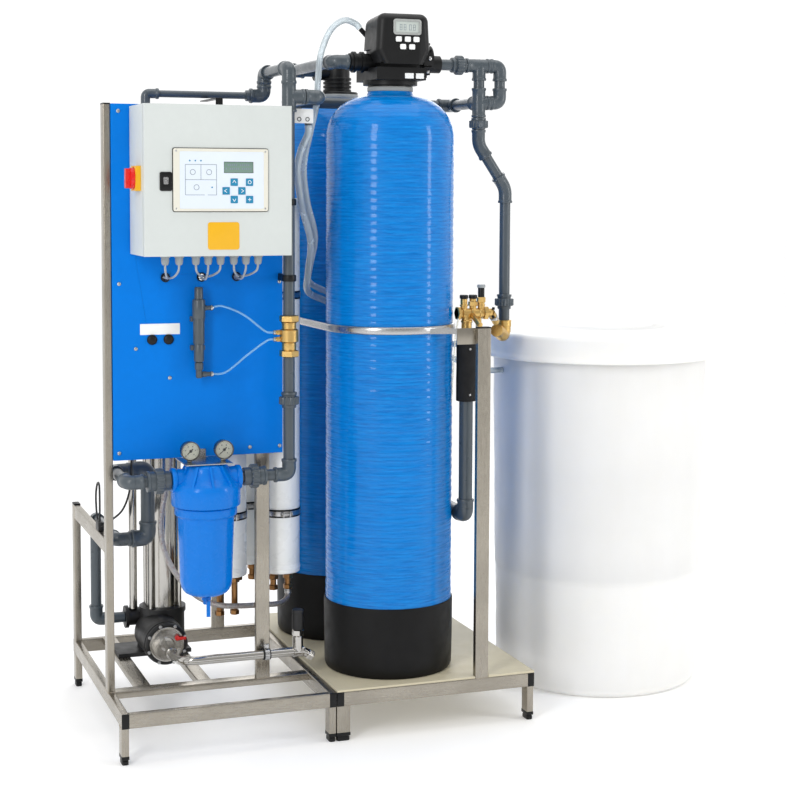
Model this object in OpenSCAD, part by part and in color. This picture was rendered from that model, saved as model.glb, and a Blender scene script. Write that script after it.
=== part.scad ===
// Reverse osmosis unit with a twin-tank softener and a brine tank.
// Millimetres, +X to the right along the front, +Y to the back, +Z up.
// Modules are drawn from the front left corner of the osmosis frame on the floor;
// origin() moves them so that the row origin is the centre of the footprint.

/* [Frames] */
// Width of each of the two stainless frames
frame_w = 600; // [560:10:640]
// Depth of the osmosis frame
frame_d = 800; // [780:10:860]
// Depth of the softener frame
soft_d = 880; // [880:10:960]
// Height of the rail tops above the floor
rail_top = 140; // [120:5:180]
// Wide side of the rectangular tube
tube_w = 40; // [40:2:44]
// Narrow side of the rectangular tube
tube_t = 20; // [18:1:22]
// Height of the left post
post_top = 1767; // [1740:10:1800]

/* [Control box] */
// Width and height of the enclosure
box_w = 400; // [380:5:400]
// Depth of the enclosure over its door
box_depth = 196; // [180:2:196]
// Height of the enclosure's underside
box_z = 1358; // [1340:2:1358]

/* [Filter] */
// Radius of the filter head
head_r = 95; // [90:1:98]
// Radius of the filter bowl at its top
bowl_r = 78; // [72:1:80]
// Height of the filter ports above the floor
port_z = 742; // [735:1:745]

/* [Tanks] */
// Radius of a wound resin tank
tank_r = 184.5; // [175:0.5:184.5]
// Height of the resin tank's neck face
tank_top = 1815; // [1790:5:1815]
// Distance between the axes of the two resin tanks
tank_pitch = 438; // [420:2:440]
// Radius of the brine tank at its floor
brine_r = 316; // [300:2:320]
// Height of the brine tank's rim
brine_h = 1090; // [1050:5:1090]

/* [Pipes] */
// Radius of the small pressure pipe
pipe_r = 16; // [16:0.5:17]
// Radius of the thin permeate pipe
thin_r = 10; // [9:0.5:11]
// Radius of the large pressure pipe
big_r = 20; // [19:0.5:20]
// Radius of a membrane vessel
vessel_r = 56; // [50:1:57]

/* [Hidden] */
$fn = 64;

gap = 0.05;                        // slip between a pipe and its socket
cap_t = 4;                         // thickness of a rail end cap
foot_h = 24;                       // height of a foot plug
soft_x = frame_w + 2;              // left face of the softener frame
soft_end = soft_x + frame_w;       // right face of the softener frame
lip_r = brine_r + 52;              // radius of the brine lid's lip
brine = [soft_end + 398, 400];     // axis of the brine tank
front_y = -5.6;                    // foremost point, the controller keys
mid_x = (brine.x + lip_r) / 2;
mid_y = (soft_d + front_y) / 2;
post_y = 206;                      // front face of the panel posts
panel_y = 200;                     // front face of the blue panel
panel_w = 481.5;
panel_z = 790;
board_t = 6;
deck = rail_top + board_t;         // top of the board that the tanks stand on
tank_a = [830, 222];               // axis of the front resin tank
tank_b = [812, tank_a.y + tank_pitch];
box_x = 70;
box_end = box_x + box_w;
door_t = 16;
shell = 2;                         // sheet thickness of the enclosure
filt = [258, 115];                 // axis of the filter
feed = [496, 115];                 // axis of the feed riser
pump = [238, 600];                 // axis of the pump
main_z = 1790;                     // height of the softened water main
valve_z = 1897;                    // height of the valve ports
ctrl_x = [288, 331, 310, 310, 352, 352];
ctrl_z = [1531, 1531, 1554, 1508, 1554, 1508];
valve_front = 112;                 // front face of the valve cover
vkey_x = [816, 843, 869, 829, 856];
vkey_z = [1957, 1957, 1957, 1936, 1936];

// ---------- shared shapes ----------
module origin() {
    translate([-mid_x, -mid_y, 0]) children();
}

// children drawn along +Z are laid from p towards q
module along(p, q) {
    d = q - p;
    translate(p) rotate([0, acos(d.z / norm(d)), atan2(d.y, d.x)]) children();
}

module rod(p, q, r) {
    along(p, q) cylinder(r = r, h = norm(q - p));
}

module tube(p, q, r, wall = 2.4) {
    along(p, q) difference() {
        cylinder(r = r, h = norm(q - p));
        translate([0, 0, -1]) cylinder(r = r - wall, h = norm(q - p) + 2);
    }
}

// a block between two opposite corners
module block(a, b) {
    translate(a) cube(b - a);
}

// rectangular tube between two corners, open along one axis
module box_tube(a, b, axis) {
    inset = [for (i = [0:2]) i == axis ? -1 : 1.5];
    difference() {
        block(a, b);
        block(a + inset, b - inset);
    }
}

// flat plate in the XZ plane with rounded corners, front face at y
module plate_xz(x0, x1, z0, z1, y, t, r) {
    translate([0, y + t, 0]) rotate([90, 0, 0]) linear_extrude(t) rounded(x0, x1, z0, z1, r);
}

module rounded(x0, x1, y0, y1, r) {
    difference() {
        translate([x0, y0]) square([x1 - x0, y1 - y0]);
        for (i = [0, 1], j = [0, 1]) {
            cx = i == 0 ? x0 : x1;
            cy = j == 0 ? y0 : y1;
            sx = i == 0 ? 1 : -1;
            sy = j == 0 ? 1 : -1;
            difference() {
                translate([cx - (i == 0 ? 1 : r), cy - (j == 0 ? 1 : r)]) square([r + 1, r + 1]);
                translate([cx + sx * r, cy + sy * r]) circle(r);
            }
        }
    }
}

module hex_nut(p, q, af) {
    along(p, q) cylinder(d = af / cos(30), h = norm(q - p), $fn = 6);
}

// ---------- swept hoses ----------
function unit(v) = v / norm(v);
function spline(a, b, c, d, t) = 0.5 * (2 * b + (c - a) * t
    + (2 * a - 5 * b + 4 * c - d) * t * t + (3 * b - a - 3 * c + d) * t * t * t);
function smooth(p, k) = let(n = len(p)) concat([for (i = [0:n - 2], j = [0:k - 1])
    spline(p[max(i - 1, 0)], p[i], p[i + 1], p[min(i + 2, n - 1)], j / k)], [p[n - 1]]);
function tangent(p, i) = unit(p[min(i + 1, len(p) - 1)] - p[max(i - 1, 0)]);
function start_normal(t) = unit(cross(t, abs(t.z) < 0.8 ? [0, 0, 1] : [1, 0, 0]));
function normals(p, i, n) = let(t = tangent(p, i), m = unit(n - (n * t) * t))
    i == len(p) - 1 ? [m] : concat([m], normals(p, i + 1, m));

// round hose of radius r through the points p, with k rings to each stretch
module hose(p, r, sides = 10, k = 3) {
    q = smooth(p, k);
    n = normals(q, 0, start_normal(tangent(q, 0)));
    rings = len(q);
    points = [for (i = [0:rings - 1], a = [0:sides - 1])
        q[i] + r * (n[i] * cos(360 * a / sides)
            + cross(tangent(q, i), n[i]) * sin(360 * a / sides))];
    walls = [for (i = [0:rings - 2], a = [0:sides - 1]) let(b = (a + 1) % sides)
        [i * sides + a, (i + 1) * sides + a, (i + 1) * sides + b, i * sides + b]];
    polyhedron(points, concat([[for (a = [0:sides - 1]) a]], walls,
        [[for (a = [sides - 1:-1:0]) (rings - 1) * sides + a]]), convexity = 4);
}

// ---------- pipe fittings ----------
function seat(r) = r + 5;
function arm(r) = seat(r) + 22;

// the branches of a fitting differ a little in radius, so that no two walls are tangent
module socket_bore(c, u, r, i) {
    rod(c + seat(r) * u, c + (arm(r) + 1) * u, r + gap);
    rod(c - 2 * u, c + (seat(r) + 1) * u, r - 3 - 0.4 * i);
}

module socket_body(c, u, r, i) {
    rod(c, c + arm(r) * u, r + 3.5 - 0.2 * i);
    rod(c + (arm(r) - 7) * u, c + arm(r) * u, r + 5.5);
}

// elbow or tee with its centre at c and a socket along each direction
module fitting(c, dirs, r) {
    flat = len(dirs) == 2 && dirs[0].z == 0 && dirs[1].z == 0;
    difference() {
        union() {
            translate(c) rotate(flat ? atan2(-dirs[0].y - dirs[1].y, -dirs[0].x - dirs[1].x) : 0)
                sphere(r + 4.2);
            for (i = [0:len(dirs) - 1]) socket_body(c, dirs[i], r, i);
        }
        for (i = [0:len(dirs) - 1]) socket_bore(c, dirs[i], r, i);
    }
}

// pipe between two fitting centres, ending in their sockets
module run(a, b, r) {
    u = unit(b - a);
    tube(a + (seat(r) + gap) * u, b - (seat(r) + gap) * u, r);
}

// pipe from a fitting centre to a free point
module stub(a, b, r) {
    u = unit(b - a);
    tube(a + (seat(r) + gap) * u, b, r);
}

// union with a ribbed nut, centred on c along u, over a through pipe
module pipe_union(c, u, r, half = 22, nut = 11) {
    difference() {
        union() {
            rod(c - half * u, c + half * u, r + nut - 7);
            rod(c - (half - 1) * u, c - (half - 8) * u, r + nut - 5);
            rod(c - 9 * u, c + 13 * u, r + nut);
            for (a = [0:30:359]) along(c - 9 * u, c + 13 * u)
                rotate(a) translate([r + nut, 0, 1]) cylinder(r = 2, h = 20, $fn = 8);
        }
        rod(c - (half + 1) * u, c + (half + 1) * u, r + gap);
    }
}

// bush that takes the small pipe in a socket of the large one
module bush(c, u) {
    difference() {
        rod(c + (seat(big_r) + gap) * u, c + (arm(big_r) + 4) * u, big_r);
        rod(c + seat(big_r) * u, c + (arm(big_r) + 5) * u, pipe_r + gap);
    }
}

X = [1, 0, 0];
Y = [0, 1, 0];
Z = [0, 0, 1];

// ---------- frames ----------
module leg(x, y, w, d) {
    box_tube([x, y, foot_h], [x + w, y + d, rail_top - tube_w], 2);
}

module ro_base_frame() {
    low = rail_top - tube_w;
    flat = rail_top - tube_t;
    right = frame_w - tube_t;
    color("#b8b2a6") origin() {
        for (x = [0, right]) box_tube([x, cap_t, low], [x + tube_t, frame_d - cap_t, rail_top], 1);
        for (y = [0, frame_d - tube_t]) box_tube([tube_t, y, low], [right, y + tube_t, rail_top], 0);
        box_tube([tube_t, post_y, flat], [right, post_y + tube_w, rail_top], 0);
        for (x = [88, 262]) box_tube([x, post_y + tube_w, flat],
            [x + tube_w, frame_d - tube_t, rail_top], 1);
        for (x = [0, right], y = [cap_t, frame_d - tube_w - cap_t]) leg(x, y, tube_t, tube_w);
    }
}

module ro_uprights() {
    side_z = 526;
    color("#b8b2a6") origin() {
        box_tube([0, post_y, rail_top], [tube_t, post_y + tube_w, post_top - cap_t], 2);
        box_tube([425, post_y, rail_top], [425 + tube_w, post_y + tube_t, panel_z + 900], 2);
        box_tube([0, frame_d - tube_w, rail_top], [tube_t, frame_d, side_z + tube_w], 2);
        box_tube([0, post_y + tube_w, side_z],
            [tube_t, frame_d - tube_w, side_z + tube_w], 1);
        box_tube([436, frame_d - tube_t, rail_top], [436 + tube_w, frame_d, 1300], 2);
    }
}

module softener_frame() {
    low = rail_top - tube_w;
    right = soft_end - tube_t;
    post_x = 1017;
    color("#b8b2a6") origin() {
        for (x = [soft_x, right])
            box_tube([x, cap_t, low], [x + tube_t, soft_d - cap_t, rail_top], 1);
        for (y = [0, soft_d - tube_t])
            box_tube([soft_x + tube_t, y, low], [right, y + tube_t, rail_top], 0);
        for (y = [tank_a.y - 20, tank_b.y - 20])
            box_tube([soft_x + tube_t, y, low + tube_t], [right, y + tube_w, rail_top], 0);
        leg(soft_x, cap_t, tube_w, tube_t);
        leg(right, cap_t, tube_t, tube_w);
        for (x = [soft_x, right]) leg(x, soft_d - tube_w - cap_t, tube_t, tube_w);
        box_tube([post_x, 0, rail_top], [post_x + tube_w, tube_t, 1146], 2);
        block([post_x - 56, 20.2, 1100], [post_x + tube_w, 26, 1146]);
        block([post_x, tube_t - 0.1, 1100], [post_x + tube_w, 20.3, 1146]);
    }
}

module foot(x, y, w, d) {
    block([x, y, 0], [x + w, y + d, foot_h]);
}

module end_caps() {
    low = rail_top - tube_w;
    right = frame_w - tube_t;
    s_right = soft_end - tube_t;
    color("#16181a") origin() {
        for (x = [0, right], y = [0, frame_d - cap_t])
            block([x, y, low], [x + tube_t, y + cap_t, rail_top]);
        for (x = [soft_x, s_right], y = [0, soft_d - cap_t])
            block([x, y, low], [x + tube_t, y + cap_t, rail_top]);
        block([0, post_y, post_top - cap_t], [tube_t, post_y + tube_w, post_top]);
        block([0, frame_d - tube_w, 566], [tube_t, frame_d, 570]);
        block([436, frame_d - tube_t, 1300], [436 + tube_w, frame_d, 1304]);
        block([1017, 0, 1146], [1017 + tube_w, tube_t, 1150]);
        for (x = [0, right], y = [cap_t, frame_d - tube_w - cap_t]) foot(x, y, tube_t, tube_w);
        foot(soft_x, cap_t, tube_w, tube_t);
        foot(s_right, cap_t, tube_t, tube_w);
        for (x = [soft_x, s_right]) foot(x, soft_d - tube_w - cap_t, tube_t, tube_w);
    }
}

module base_board() {
    color("#cfc39f") origin() difference() {
        block([soft_x, 0, rail_top], [soft_end, soft_d, deck]);
        block([1016.5, -1, rail_top - 1], [1057.5, tube_t + 0.5, deck + 1]);
    }
}

module back_panel() {
    x0 = tube_t + 0.5;
    x1 = x0 + panel_w;
    top = post_top - 2;
    color("#0b63c4") origin() difference() {
        union() {
            block([x0, panel_y, panel_z], [x1, panel_y + 3, top]);
            block([x0, panel_y, panel_z], [x0 + 3, panel_y + 40, top]);
            block([x1 - 3, panel_y, panel_z], [x1, panel_y + 28, top]);
        }
        for (x = [167, 268, 368]) rod([x, panel_y - 1, 1292], [x, panel_y + 5, 1292], 9);
        for (x = [129, 175]) rod([x, panel_y - 1, 1121], [x, panel_y + 5, 1121], 9);
    }
}

module screw(x, z, y = panel_y) {
    rod([x, y - 3, z], [x, y - 0.05, z], 5.5);
}

module fasteners() {
    color("#c9c9c6") origin() {
        for (p = [[40, 1745], [39, 1276], [36, 810], [84, 1097], [178, 1014], [406, 810],
            [493, 810], [493, 1276]]) screw(p.x, p.y);
        for (z = [1440, 1676]) rod([box_end - 1.5, 18.5, z - 24], [box_end - 1.5, 18.5, z + 24], 1.1);
    }
}

// ---------- control box ----------
module enclosure_body() {
    back = box_depth;
    top = box_z + box_w;
    color("#cfd2cf") origin() {
        difference() {
            block([box_x, 21, box_z], [box_end, back, top]);
            block([box_x + shell, 20, box_z + shell], [box_end - shell, back - shell, top - shell]);
            for (x = gland_x()) rod([x, 80, box_z - 1], [x, 80, box_z + 4], 6.2);
            rod([box_x - 1, 75, 1563], [box_x + 4, 75, 1563], 6.3);
        }
        for (x = [box_x + 25, box_end - 25], z = [box_z + 25, top - 25])
            rod([x, back - 0.1, z], [x, panel_y - 0.05, z], 8);
        for (z = [1440, 1676]) difference() {
            union() {
                rod([box_end - 1.5, 18.5, z - 22], [box_end - 1.5, 18.5, z - 1], 2.2);
                block([box_end - 3, 19.5, z - 22], [box_end - 1, 22, z - 1]);
            }
            rod([box_end - 1.5, 18.5, z - 30], [box_end - 1.5, 18.5, z + 5], 1.15);
        }
    }
}

function gland_x() = [141, 179, 225, 259, 293, 330, 364, 398];

module enclosure_door() {
    top = box_z + box_w;
    color("#d3d6d3") origin() {
        difference() {
            block([box_x, 0, box_z], [box_end, door_t, top]);
            block([box_x + shell, shell, box_z + shell],
                [box_end - shell, door_t + 1, top - shell]);
            block([152, -1, 1483], [397, shell + 1, 1636]);
            rod([127, -1, 1557], [127, shell + 1, 1557], 10.2);
        }
        for (z = [1440, 1676]) difference() {
            union() {
                rod([box_end - 1.5, 18.5, z + 1], [box_end - 1.5, 18.5, z + 22], 2.2);
                block([box_end - 2, 15, z + 1], [box_end, 17.5, z + 22]);
            }
            rod([box_end - 1.5, 18.5, z - 5], [box_end - 1.5, 18.5, z + 30], 1.15);
        }
    }
}

module door_lock() {
    color("#9aa0a3") origin() {
        difference() {
            union() {
                rod([127, -2, 1557], [127, 12, 1557], 9.9);
                rod([127, 12, 1557], [127, 15.5, 1557], 5);
            }
            rod([127, -3, 1557], [127, 3, 1557], 6);
        }
        block([124, -1, 1552.5], [130, 3.2, 1561.5]);
        block([121, 11.5, 1540], [133, 14, 1562]);
    }
}

module controller_panel() {
    color("#eceee9") origin() difference() {
        union() {
            plate_xz(146, 403, 1477, 1642, -5, 4.95, 5);
            block([153, -1, 1484], [396, 14, 1635]);
        }
        plate_xz(163, 391, 1484, 1634, -6, 1.6, 3);
        block([282, -5, 1578], [363, -2, 1608]);
        for (i = [0:5]) block([ctrl_x[i] - 10, -6, ctrl_z[i] - 10],
            [ctrl_x[i] + 10, 1, ctrl_z[i] + 10]);
    }
}

module controller_key(i) {
    color("#1f7f95") origin() plate_xz(ctrl_x[i] - 9.6, ctrl_x[i] + 9.6, ctrl_z[i] - 9.6,
        ctrl_z[i] + 9.6, -5.6, 5, 2);
}

module controller_key_1() { controller_key(0); }
module controller_key_2() { controller_key(1); }
module controller_key_3() { controller_key(2); }
module controller_key_4() { controller_key(3); }
module controller_key_5() { controller_key(4); }
module controller_key_6() { controller_key(5); }

module isolator_plate() {
    color("#f2c200") origin() difference() {
        union() {
            block([56, 42, 1530], [69.95, 108, 1596]);
            rod([69, 75, 1563], [95, 75, 1563], 6);
        }
        rod([50, 75, 1563], [100, 75, 1563], 3.05);
        rod([55, 75, 1563], [60, 75, 1563], 29);
    }
}

module isolator_knob() {
    color("#d2231a") origin() {
        rod([46, 75, 1563], [59.5, 75, 1563], 28);
        rod([59, 75, 1563], [92, 75, 1563], 3);
        block([34, 65, 1537], [47, 85, 1589]);
    }
}

module switchgear() {
    color("#5d6163") origin() {
        block([box_x + 20, 184, box_z + 20], [box_end - 20, 187, box_z + box_w - 20]);
        for (x = [110, 430], z = [box_z + 35, box_z + box_w - 35])
            rod([x, 187, z], [x, box_depth - shell - 0.05, z], 5);
        for (z = [1460, 1640]) block([110, 176, z], [430, 183.95, z + 35]);
        for (i = [0:4]) block([120 + 60 * i, 96, 1608], [170 + 60 * i, 175.95, 1698]);
        for (i = [0:19]) block([122 + 15 * i, 130, 1448], [135 + 15 * i, 175.95, 1508]);
        block([110, 120, 1545], [430, 183.95, 1585]);
    }
}

module gland(x, y, z) {
    difference() {
        union() {
            hex_nut([x, y, z - 7], [x, y, z - 0.05], 24);
            translate([x, y, z - 27]) cylinder(r1 = 8, r2 = 10.5, h = 20.1);
            rod([x, y, z - 1], [x, y, z + 8], 6);
        }
        rod([x, y, z - 30], [x, y, z + 10], 4.2);
    }
}

module panel_port(x, z, r) {
    difference() {
        rod([x, panel_y - 7, z], [x, panel_y + 8, z], r);
        rod([x, panel_y - 8, z], [x, panel_y + 9, z], r - 4);
        difference() {
            rod([x, panel_y - 0.1, z], [x, panel_y + 3.1, z], r + 1);
            rod([x, panel_y - 0.2, z], [x, panel_y + 3.2, z], 8.9);
        }
    }
}

module cable_glands() {
    color("#4a4e50") origin() {
        for (x = gland_x()) gland(x, 80, box_z);
        for (x = [167, 268, 368]) panel_port(x, 1292, 13);
        for (x = [129, 175]) panel_port(x, 1121, 14);
    }
}

// a cable from a gland under the box to the grommet that it enters
module gland_cable(x, gx, dz) {
    hose([[x, 80, box_z - 2], [x, 80, box_z - 26], [x + (gx - x) * 0.1, 88, box_z - 44],
        [x + (gx - x) * 0.55, 122, 1298 + dz], [gx, 160, 1292 + dz], [gx, 192, 1292 + dz],
        [gx, 206, 1292 + dz]], 2.9, 8, 4);
}

module control_cables() {
    gx = gland_x();
    color("#9da1a2") origin() {
        gland_cable(gx[0], 164, 0);
        gland_cable(gx[1], 171, 0);
        gland_cable(gx[2], 263, 3);
        gland_cable(gx[3], 268, -4);
        gland_cable(gx[4], 273, 3);
        gland_cable(gx[5], 363, 3);
        gland_cable(gx[6], 368, -4);
        gland_cable(gx[7], 373, 3);
        hose([[75, 225, 810], [76, 240, 740], [74, 270, 680], [60, 300, 630], [30, 330, 596],
            [10, 344.9, 579]], 2.9, 8, 4);
        hose([[10, 391.1, 579], [10, 420, 610], [12, 440, 655], [14, 425, 690], [14, 395, 690],
            [12, 378, 650], [10, 368, 592.1]], 2.9, 8, 4);
        block([2, 345, 566.2], [18, 391, 592]);
    }
}

// ---------- filter ----------
module filter_head() {
    p = [filt.x, filt.y, 0];
    color("#0f6fd0") origin() difference() {
        union() {
            translate(p) rotate_extrude() polygon([[0, 786], [44, 786], [52, 782], [58, 772],
                [head_r - 14, 740], [head_r - 4, 730], [head_r, 718], [head_r, 676],
                [head_r - 5, 670], [0, 670]]);
            rod([162, filt.y, port_z], [355, filt.y, port_z], 31);
            for (x = [162, 343]) rod([x, filt.y, port_z], [x + 12, filt.y, port_z], 34);
            for (a = [0:12:359]) translate(p) rotate(a) translate([head_r - 1, 0, 680])
                cylinder(r = 2.5, h = 32, $fn = 8);
        }
        translate(p) rotate_extrude() polygon([[20, 772], [40, 768], [60, 740], [bowl_r + 3, 725],
            [bowl_r + 3, 669], [0, 669], [0, 699.95], [20, 699.95]]);
        rod([filt.x, filt.y, 699], [filt.x, filt.y, 742], 12);
        rod([161, filt.y, port_z], [184, filt.y, port_z], pipe_r + gap);
        rod([333, filt.y, port_z], [356, filt.y, port_z], pipe_r + gap);
        rod([180, filt.y, port_z], [336, filt.y, port_z], 12);
        for (x = [213, 307]) rod([x, filt.y, 762], [x, filt.y, 790], 4.2);
    }
}

module filter_bowl() {
    p = [filt.x, filt.y, 0];
    color("#0f6fd0") origin() difference() {
        union() {
            translate(p) rotate_extrude() polygon([[0, 418], [40, 420], [58, 428], [68, 442],
                [bowl_r - 6, 462], [bowl_r, 640], [bowl_r + 8, 646], [bowl_r + 8, 668],
                [bowl_r + 2.4, 668], [bowl_r + 2.4, 700], [0, 700]]);
            for (a = [0:15:359]) translate(p) rotate(a) translate([bowl_r + 6, 0, 647])
                cylinder(r = 3.4, h = 20, $fn = 8);
            rod([filt.x, filt.y, 392], [filt.x, filt.y, 424], 9);
            rod([filt.x, filt.y, 404], [filt.x, filt.y, 412], 13);
        }
        translate(p) rotate_extrude() polygon([[0, 424], [38, 426], [54, 434], [62, 446],
            [bowl_r - 11, 464], [bowl_r - 5, 642], [bowl_r - 5, 701], [0, 701]]);
        rod([filt.x, filt.y, 390], [filt.x, filt.y, 430], 3);
        rod([filt.x, filt.y - 16, 399], [filt.x, filt.y + 16, 399], 4.1);
    }
}

module filter_cartridge() {
    color("#f2f0e6") origin() {
        tube([filt.x, filt.y, 456], [filt.x, filt.y, 694], 55, 40);
        for (z = [450.1, 694.1]) tube([filt.x, filt.y, z], [filt.x, filt.y, z + 5.8], 56, 42);
    }
}

module drain_lever() {
    color("#1d77d8") origin() {
        rod([filt.x, filt.y - 22, 399], [filt.x, filt.y + 14, 399], 3.8);
        block([filt.x - 5, filt.y - 27, 362], [filt.x + 5, filt.y - 21.9, 406]);
    }
}

module steel_brackets() {
    color("#c5c7c6") origin() {
        difference() {
            block([192, 66, 787], [324, 199.9, 789.9]);
            for (x = [213, 307]) rod([x, filt.y, 786], [x, filt.y, 791], 8);
        }
        block([242, 196.9, 787], [278, 199.9, 812]);
        block([312, panel_y + 3.05, 1725], [332, panel_y + 6, 1786.9]);
        block([312, panel_y + 3.05, 1784], [332, 392, 1786.9]);
    }
}

module gauge_body(x) {
    difference() {
        union() {
            rod([x, 100, 822], [x, 127, 822], 25);
            rod([x, 96, 822], [x, 102, 822], 26.5);
            rod([x, filt.y, 763], [x, filt.y, 800], 4.1);
            hex_nut([x, filt.y, 791], [x, filt.y, 799], 13);
        }
        rod([x, 95, 822], [x, 104, 822], 23.8);
    }
    rod([x, 98.5, 822], [x, 105, 822], 1.4);
}

module pressure_gauges() {
    color("#d8dad9") origin() for (x = [213, 307]) gauge_body(x);
}

module gauge_needle(x) {
    color("#101214") origin() difference() {
        union() {
            rod([x, 99.4, 822], [x, 101.4, 822], 4);
            along([x, 100, 822], [x - 13, 100, 810]) translate([-1, -0.6, 0]) cube([2, 1.2, 18]);
            along([x, 100, 822], [x + 7, 100, 829]) translate([-1.4, -0.6, 0]) cube([2.8, 1.2, 9]);
        }
        rod([x, 98, 822], [x, 103, 822], 1.45);
    }
}

module gauge_needle_left() { gauge_needle(213); }
module gauge_needle_right() { gauge_needle(307); }

// ---------- osmosis pipework ----------
module ro_pipework() {
    low_elbow = [feed.x, feed.y, port_z];
    main_tee = [feed.x, feed.y, main_z];
    top_elbow = [feed.x, feed.y, 1868];
    out_left = [42, filt.y, port_z];
    out_back = [42, 320, port_z];
    drop_top = [138, 320, port_z];
    drop_low = [138, 320, 545];
    side_low = [46, 320, 545];
    side_back = [46, 650, 545];
    inlet = [46, 650, 235];
    over_right = [feed.x, 370, 1868];
    over_low = [feed.x, 370, 1803];
    over_left = [150, 370, 1803];
    side_drop = [150, 370, 1570];
    over_vessel = [364, 370, 1570];
    vessel_top = [364, 300, 1570];
    color("#3d4145") origin() {
        fitting(low_elbow, [Z, -X], pipe_r);
        fitting(main_tee, [Z, -Z, X], pipe_r);
        fitting(top_elbow, [-Z, Y], pipe_r);
        stub(low_elbow, [feed.x, feed.y, 1075], pipe_r);
        stub(main_tee, [feed.x, feed.y, 1184], pipe_r);
        run(main_tee, top_elbow, pipe_r);
        pipe_union([feed.x, feed.y, 951], -Z, pipe_r);
        pipe_union([396, feed.y, port_z], -X, pipe_r, 32, 16);
        stub(low_elbow, [334, feed.y, port_z], pipe_r);
        pipe_union([126, filt.y, port_z], X, pipe_r, 32, 18);
        stub(out_left, [183, filt.y, port_z], pipe_r);
        fitting(out_left, [X, Y], pipe_r);
        run(out_left, out_back, pipe_r);
        fitting(out_back, [X, -Y], pipe_r);
        run(out_back, drop_top, pipe_r);
        fitting(drop_top, [-X, -Z], big_r);
        run(drop_top, drop_low, big_r);
        fitting(drop_low, [Z, -X], big_r);
        run(drop_low, side_low, pipe_r);
        for (c = [drop_top, drop_low]) bush(c, -X);
        fitting(side_low, [X, Y], pipe_r);
        run(side_low, side_back, pipe_r);
        fitting(side_back, [-Y, -Z], pipe_r);
        run(side_back, inlet, pipe_r);
        fitting(inlet, [Z, X], pipe_r);
        stub(inlet, [131, 650, 235], pipe_r);
        run(top_elbow, over_right, pipe_r);
        fitting(over_right, [-Y, -Z], pipe_r);
        run(over_right, over_low, pipe_r);
        fitting(over_low, [Z, -X], pipe_r);
        difference() {
            rod(over_low - (seat(pipe_r) + gap) * X, over_low - (arm(pipe_r) + 12) * X, pipe_r);
            rod(over_low - seat(pipe_r) * X, over_low - 60 * X, thin_r + gap);
        }
        run(over_low - 10 * X, over_left, thin_r);
        fitting(over_left, [X, -Z], thin_r);
        run(over_left, side_drop, thin_r);
        fitting(side_drop, [Z, X], thin_r);
        run(side_drop, over_vessel, thin_r);
        fitting(over_vessel, [-X, -Y], thin_r);
        run(over_vessel, vessel_top, thin_r);
        fitting(vessel_top, [Y, -Z], thin_r);
        stub(vessel_top, [vessel_top.x, vessel_top.y, 1510.1], thin_r);
    }
}

// ---------- brass ----------
module brass_riser_valve() {
    difference() {
        union() {
            hex_nut([feed.x, feed.y, 1071], [feed.x, feed.y, 1090], 48);
            rod([feed.x, feed.y, 1090], [feed.x, feed.y, 1168], 20);
            rod([feed.x, feed.y, 1112], [feed.x, feed.y, 1148], 26);
            hex_nut([feed.x, feed.y, 1168], [feed.x, feed.y, 1187], 48);
            for (z = [1121, 1140]) {
                rod([feed.x - 40, feed.y, z], [feed.x, feed.y, z], 6);
                hex_nut([feed.x - 36, feed.y, z], [feed.x - 26, feed.y, z], 13);
            }
        }
        rod([feed.x, feed.y, 1070], [feed.x, feed.y, 1076], pipe_r + gap);
        rod([feed.x, feed.y, 1183], [feed.x, feed.y, 1188], pipe_r + gap);
        rod([feed.x, feed.y, 1070], [feed.x, feed.y, 1188], 12);
        for (z = [1121, 1140]) rod([feed.x - 41, feed.y, z], [feed.x - 28, feed.y, z], 4.2);
    }
}

module vessel_port(p, drop) {
    rod([p.x, p.y, 425.95 - drop], [p.x, p.y, 425.95], 9);
    hex_nut([p.x, p.y, 402], [p.x, p.y, 416], 26);
    hex_nut([p.x, p.y, 425.95 - drop], [p.x, p.y, 440 - drop], 24);
}

function vessels() = [[524, 300], [364, 300], [457, 450]];

module brass_manifold() {
    difference() {
        union() {
            rod([1003, 130, 1180], [1100, 130, 1180], 14);
            hex_nut([1003, 130, 1180], [1014, 130, 1180], 36);
            hex_nut([1085, 130, 1180], [1100, 130, 1180], 36);
            for (x = [1026, 1054, 1080]) rod([x, 130, 1180], [x, 130, 1222], 10);
            hex_nut([1054, 130, 1200], [1054, 130, 1214], 24);
            hex_nut([1080, 130, 1210], [1080, 130, 1226], 22);
            rod([1048, 130, 1180], [1048, 60, 1150], 8);
            rod([1035, 130, 1112], [1035, 130, 1180], 15);
            hex_nut([1035, 130, 1112], [1035, 130, 1130], 46);
            rod([1100, 130, 1180], [1112, 130, 1180], 12);
            rod([1074, 130, 1150], [1074, 130, 1180], 7);
        }
        rod([1002, 130, 1180], [1012, 130, 1180], 10.5);
        rod([1035, 130, 1111], [1035, 130, 1124], pipe_r - 4);
    }
    rod([1112.05, 130, 1180], [1140, 160, 1150], 11);
    difference() {
        union() {
            rod([1193, 222, 1103], [1193, 222, 1150], 20);
            rod([1193, 222, 1123], [1150, 178, 1123], 14);
            translate([1193, 222, 1117]) sphere(20.5);
        }
        rod([1193, 222, 1128], [1193, 222, 1151], pipe_r + gap);
    }
}

module brass_fittings() {
    v = vessels();
    color("#b8893b") origin() {
        brass_riser_valve();
        for (p = v, dx = [-22, 22]) vessel_port([p.x + dx, p.y], p.x < 400 ? 118 : 55);
        rod([196, 262, 830.05], [196, 262, 880], 9);
        brass_manifold();
    }
}

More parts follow.
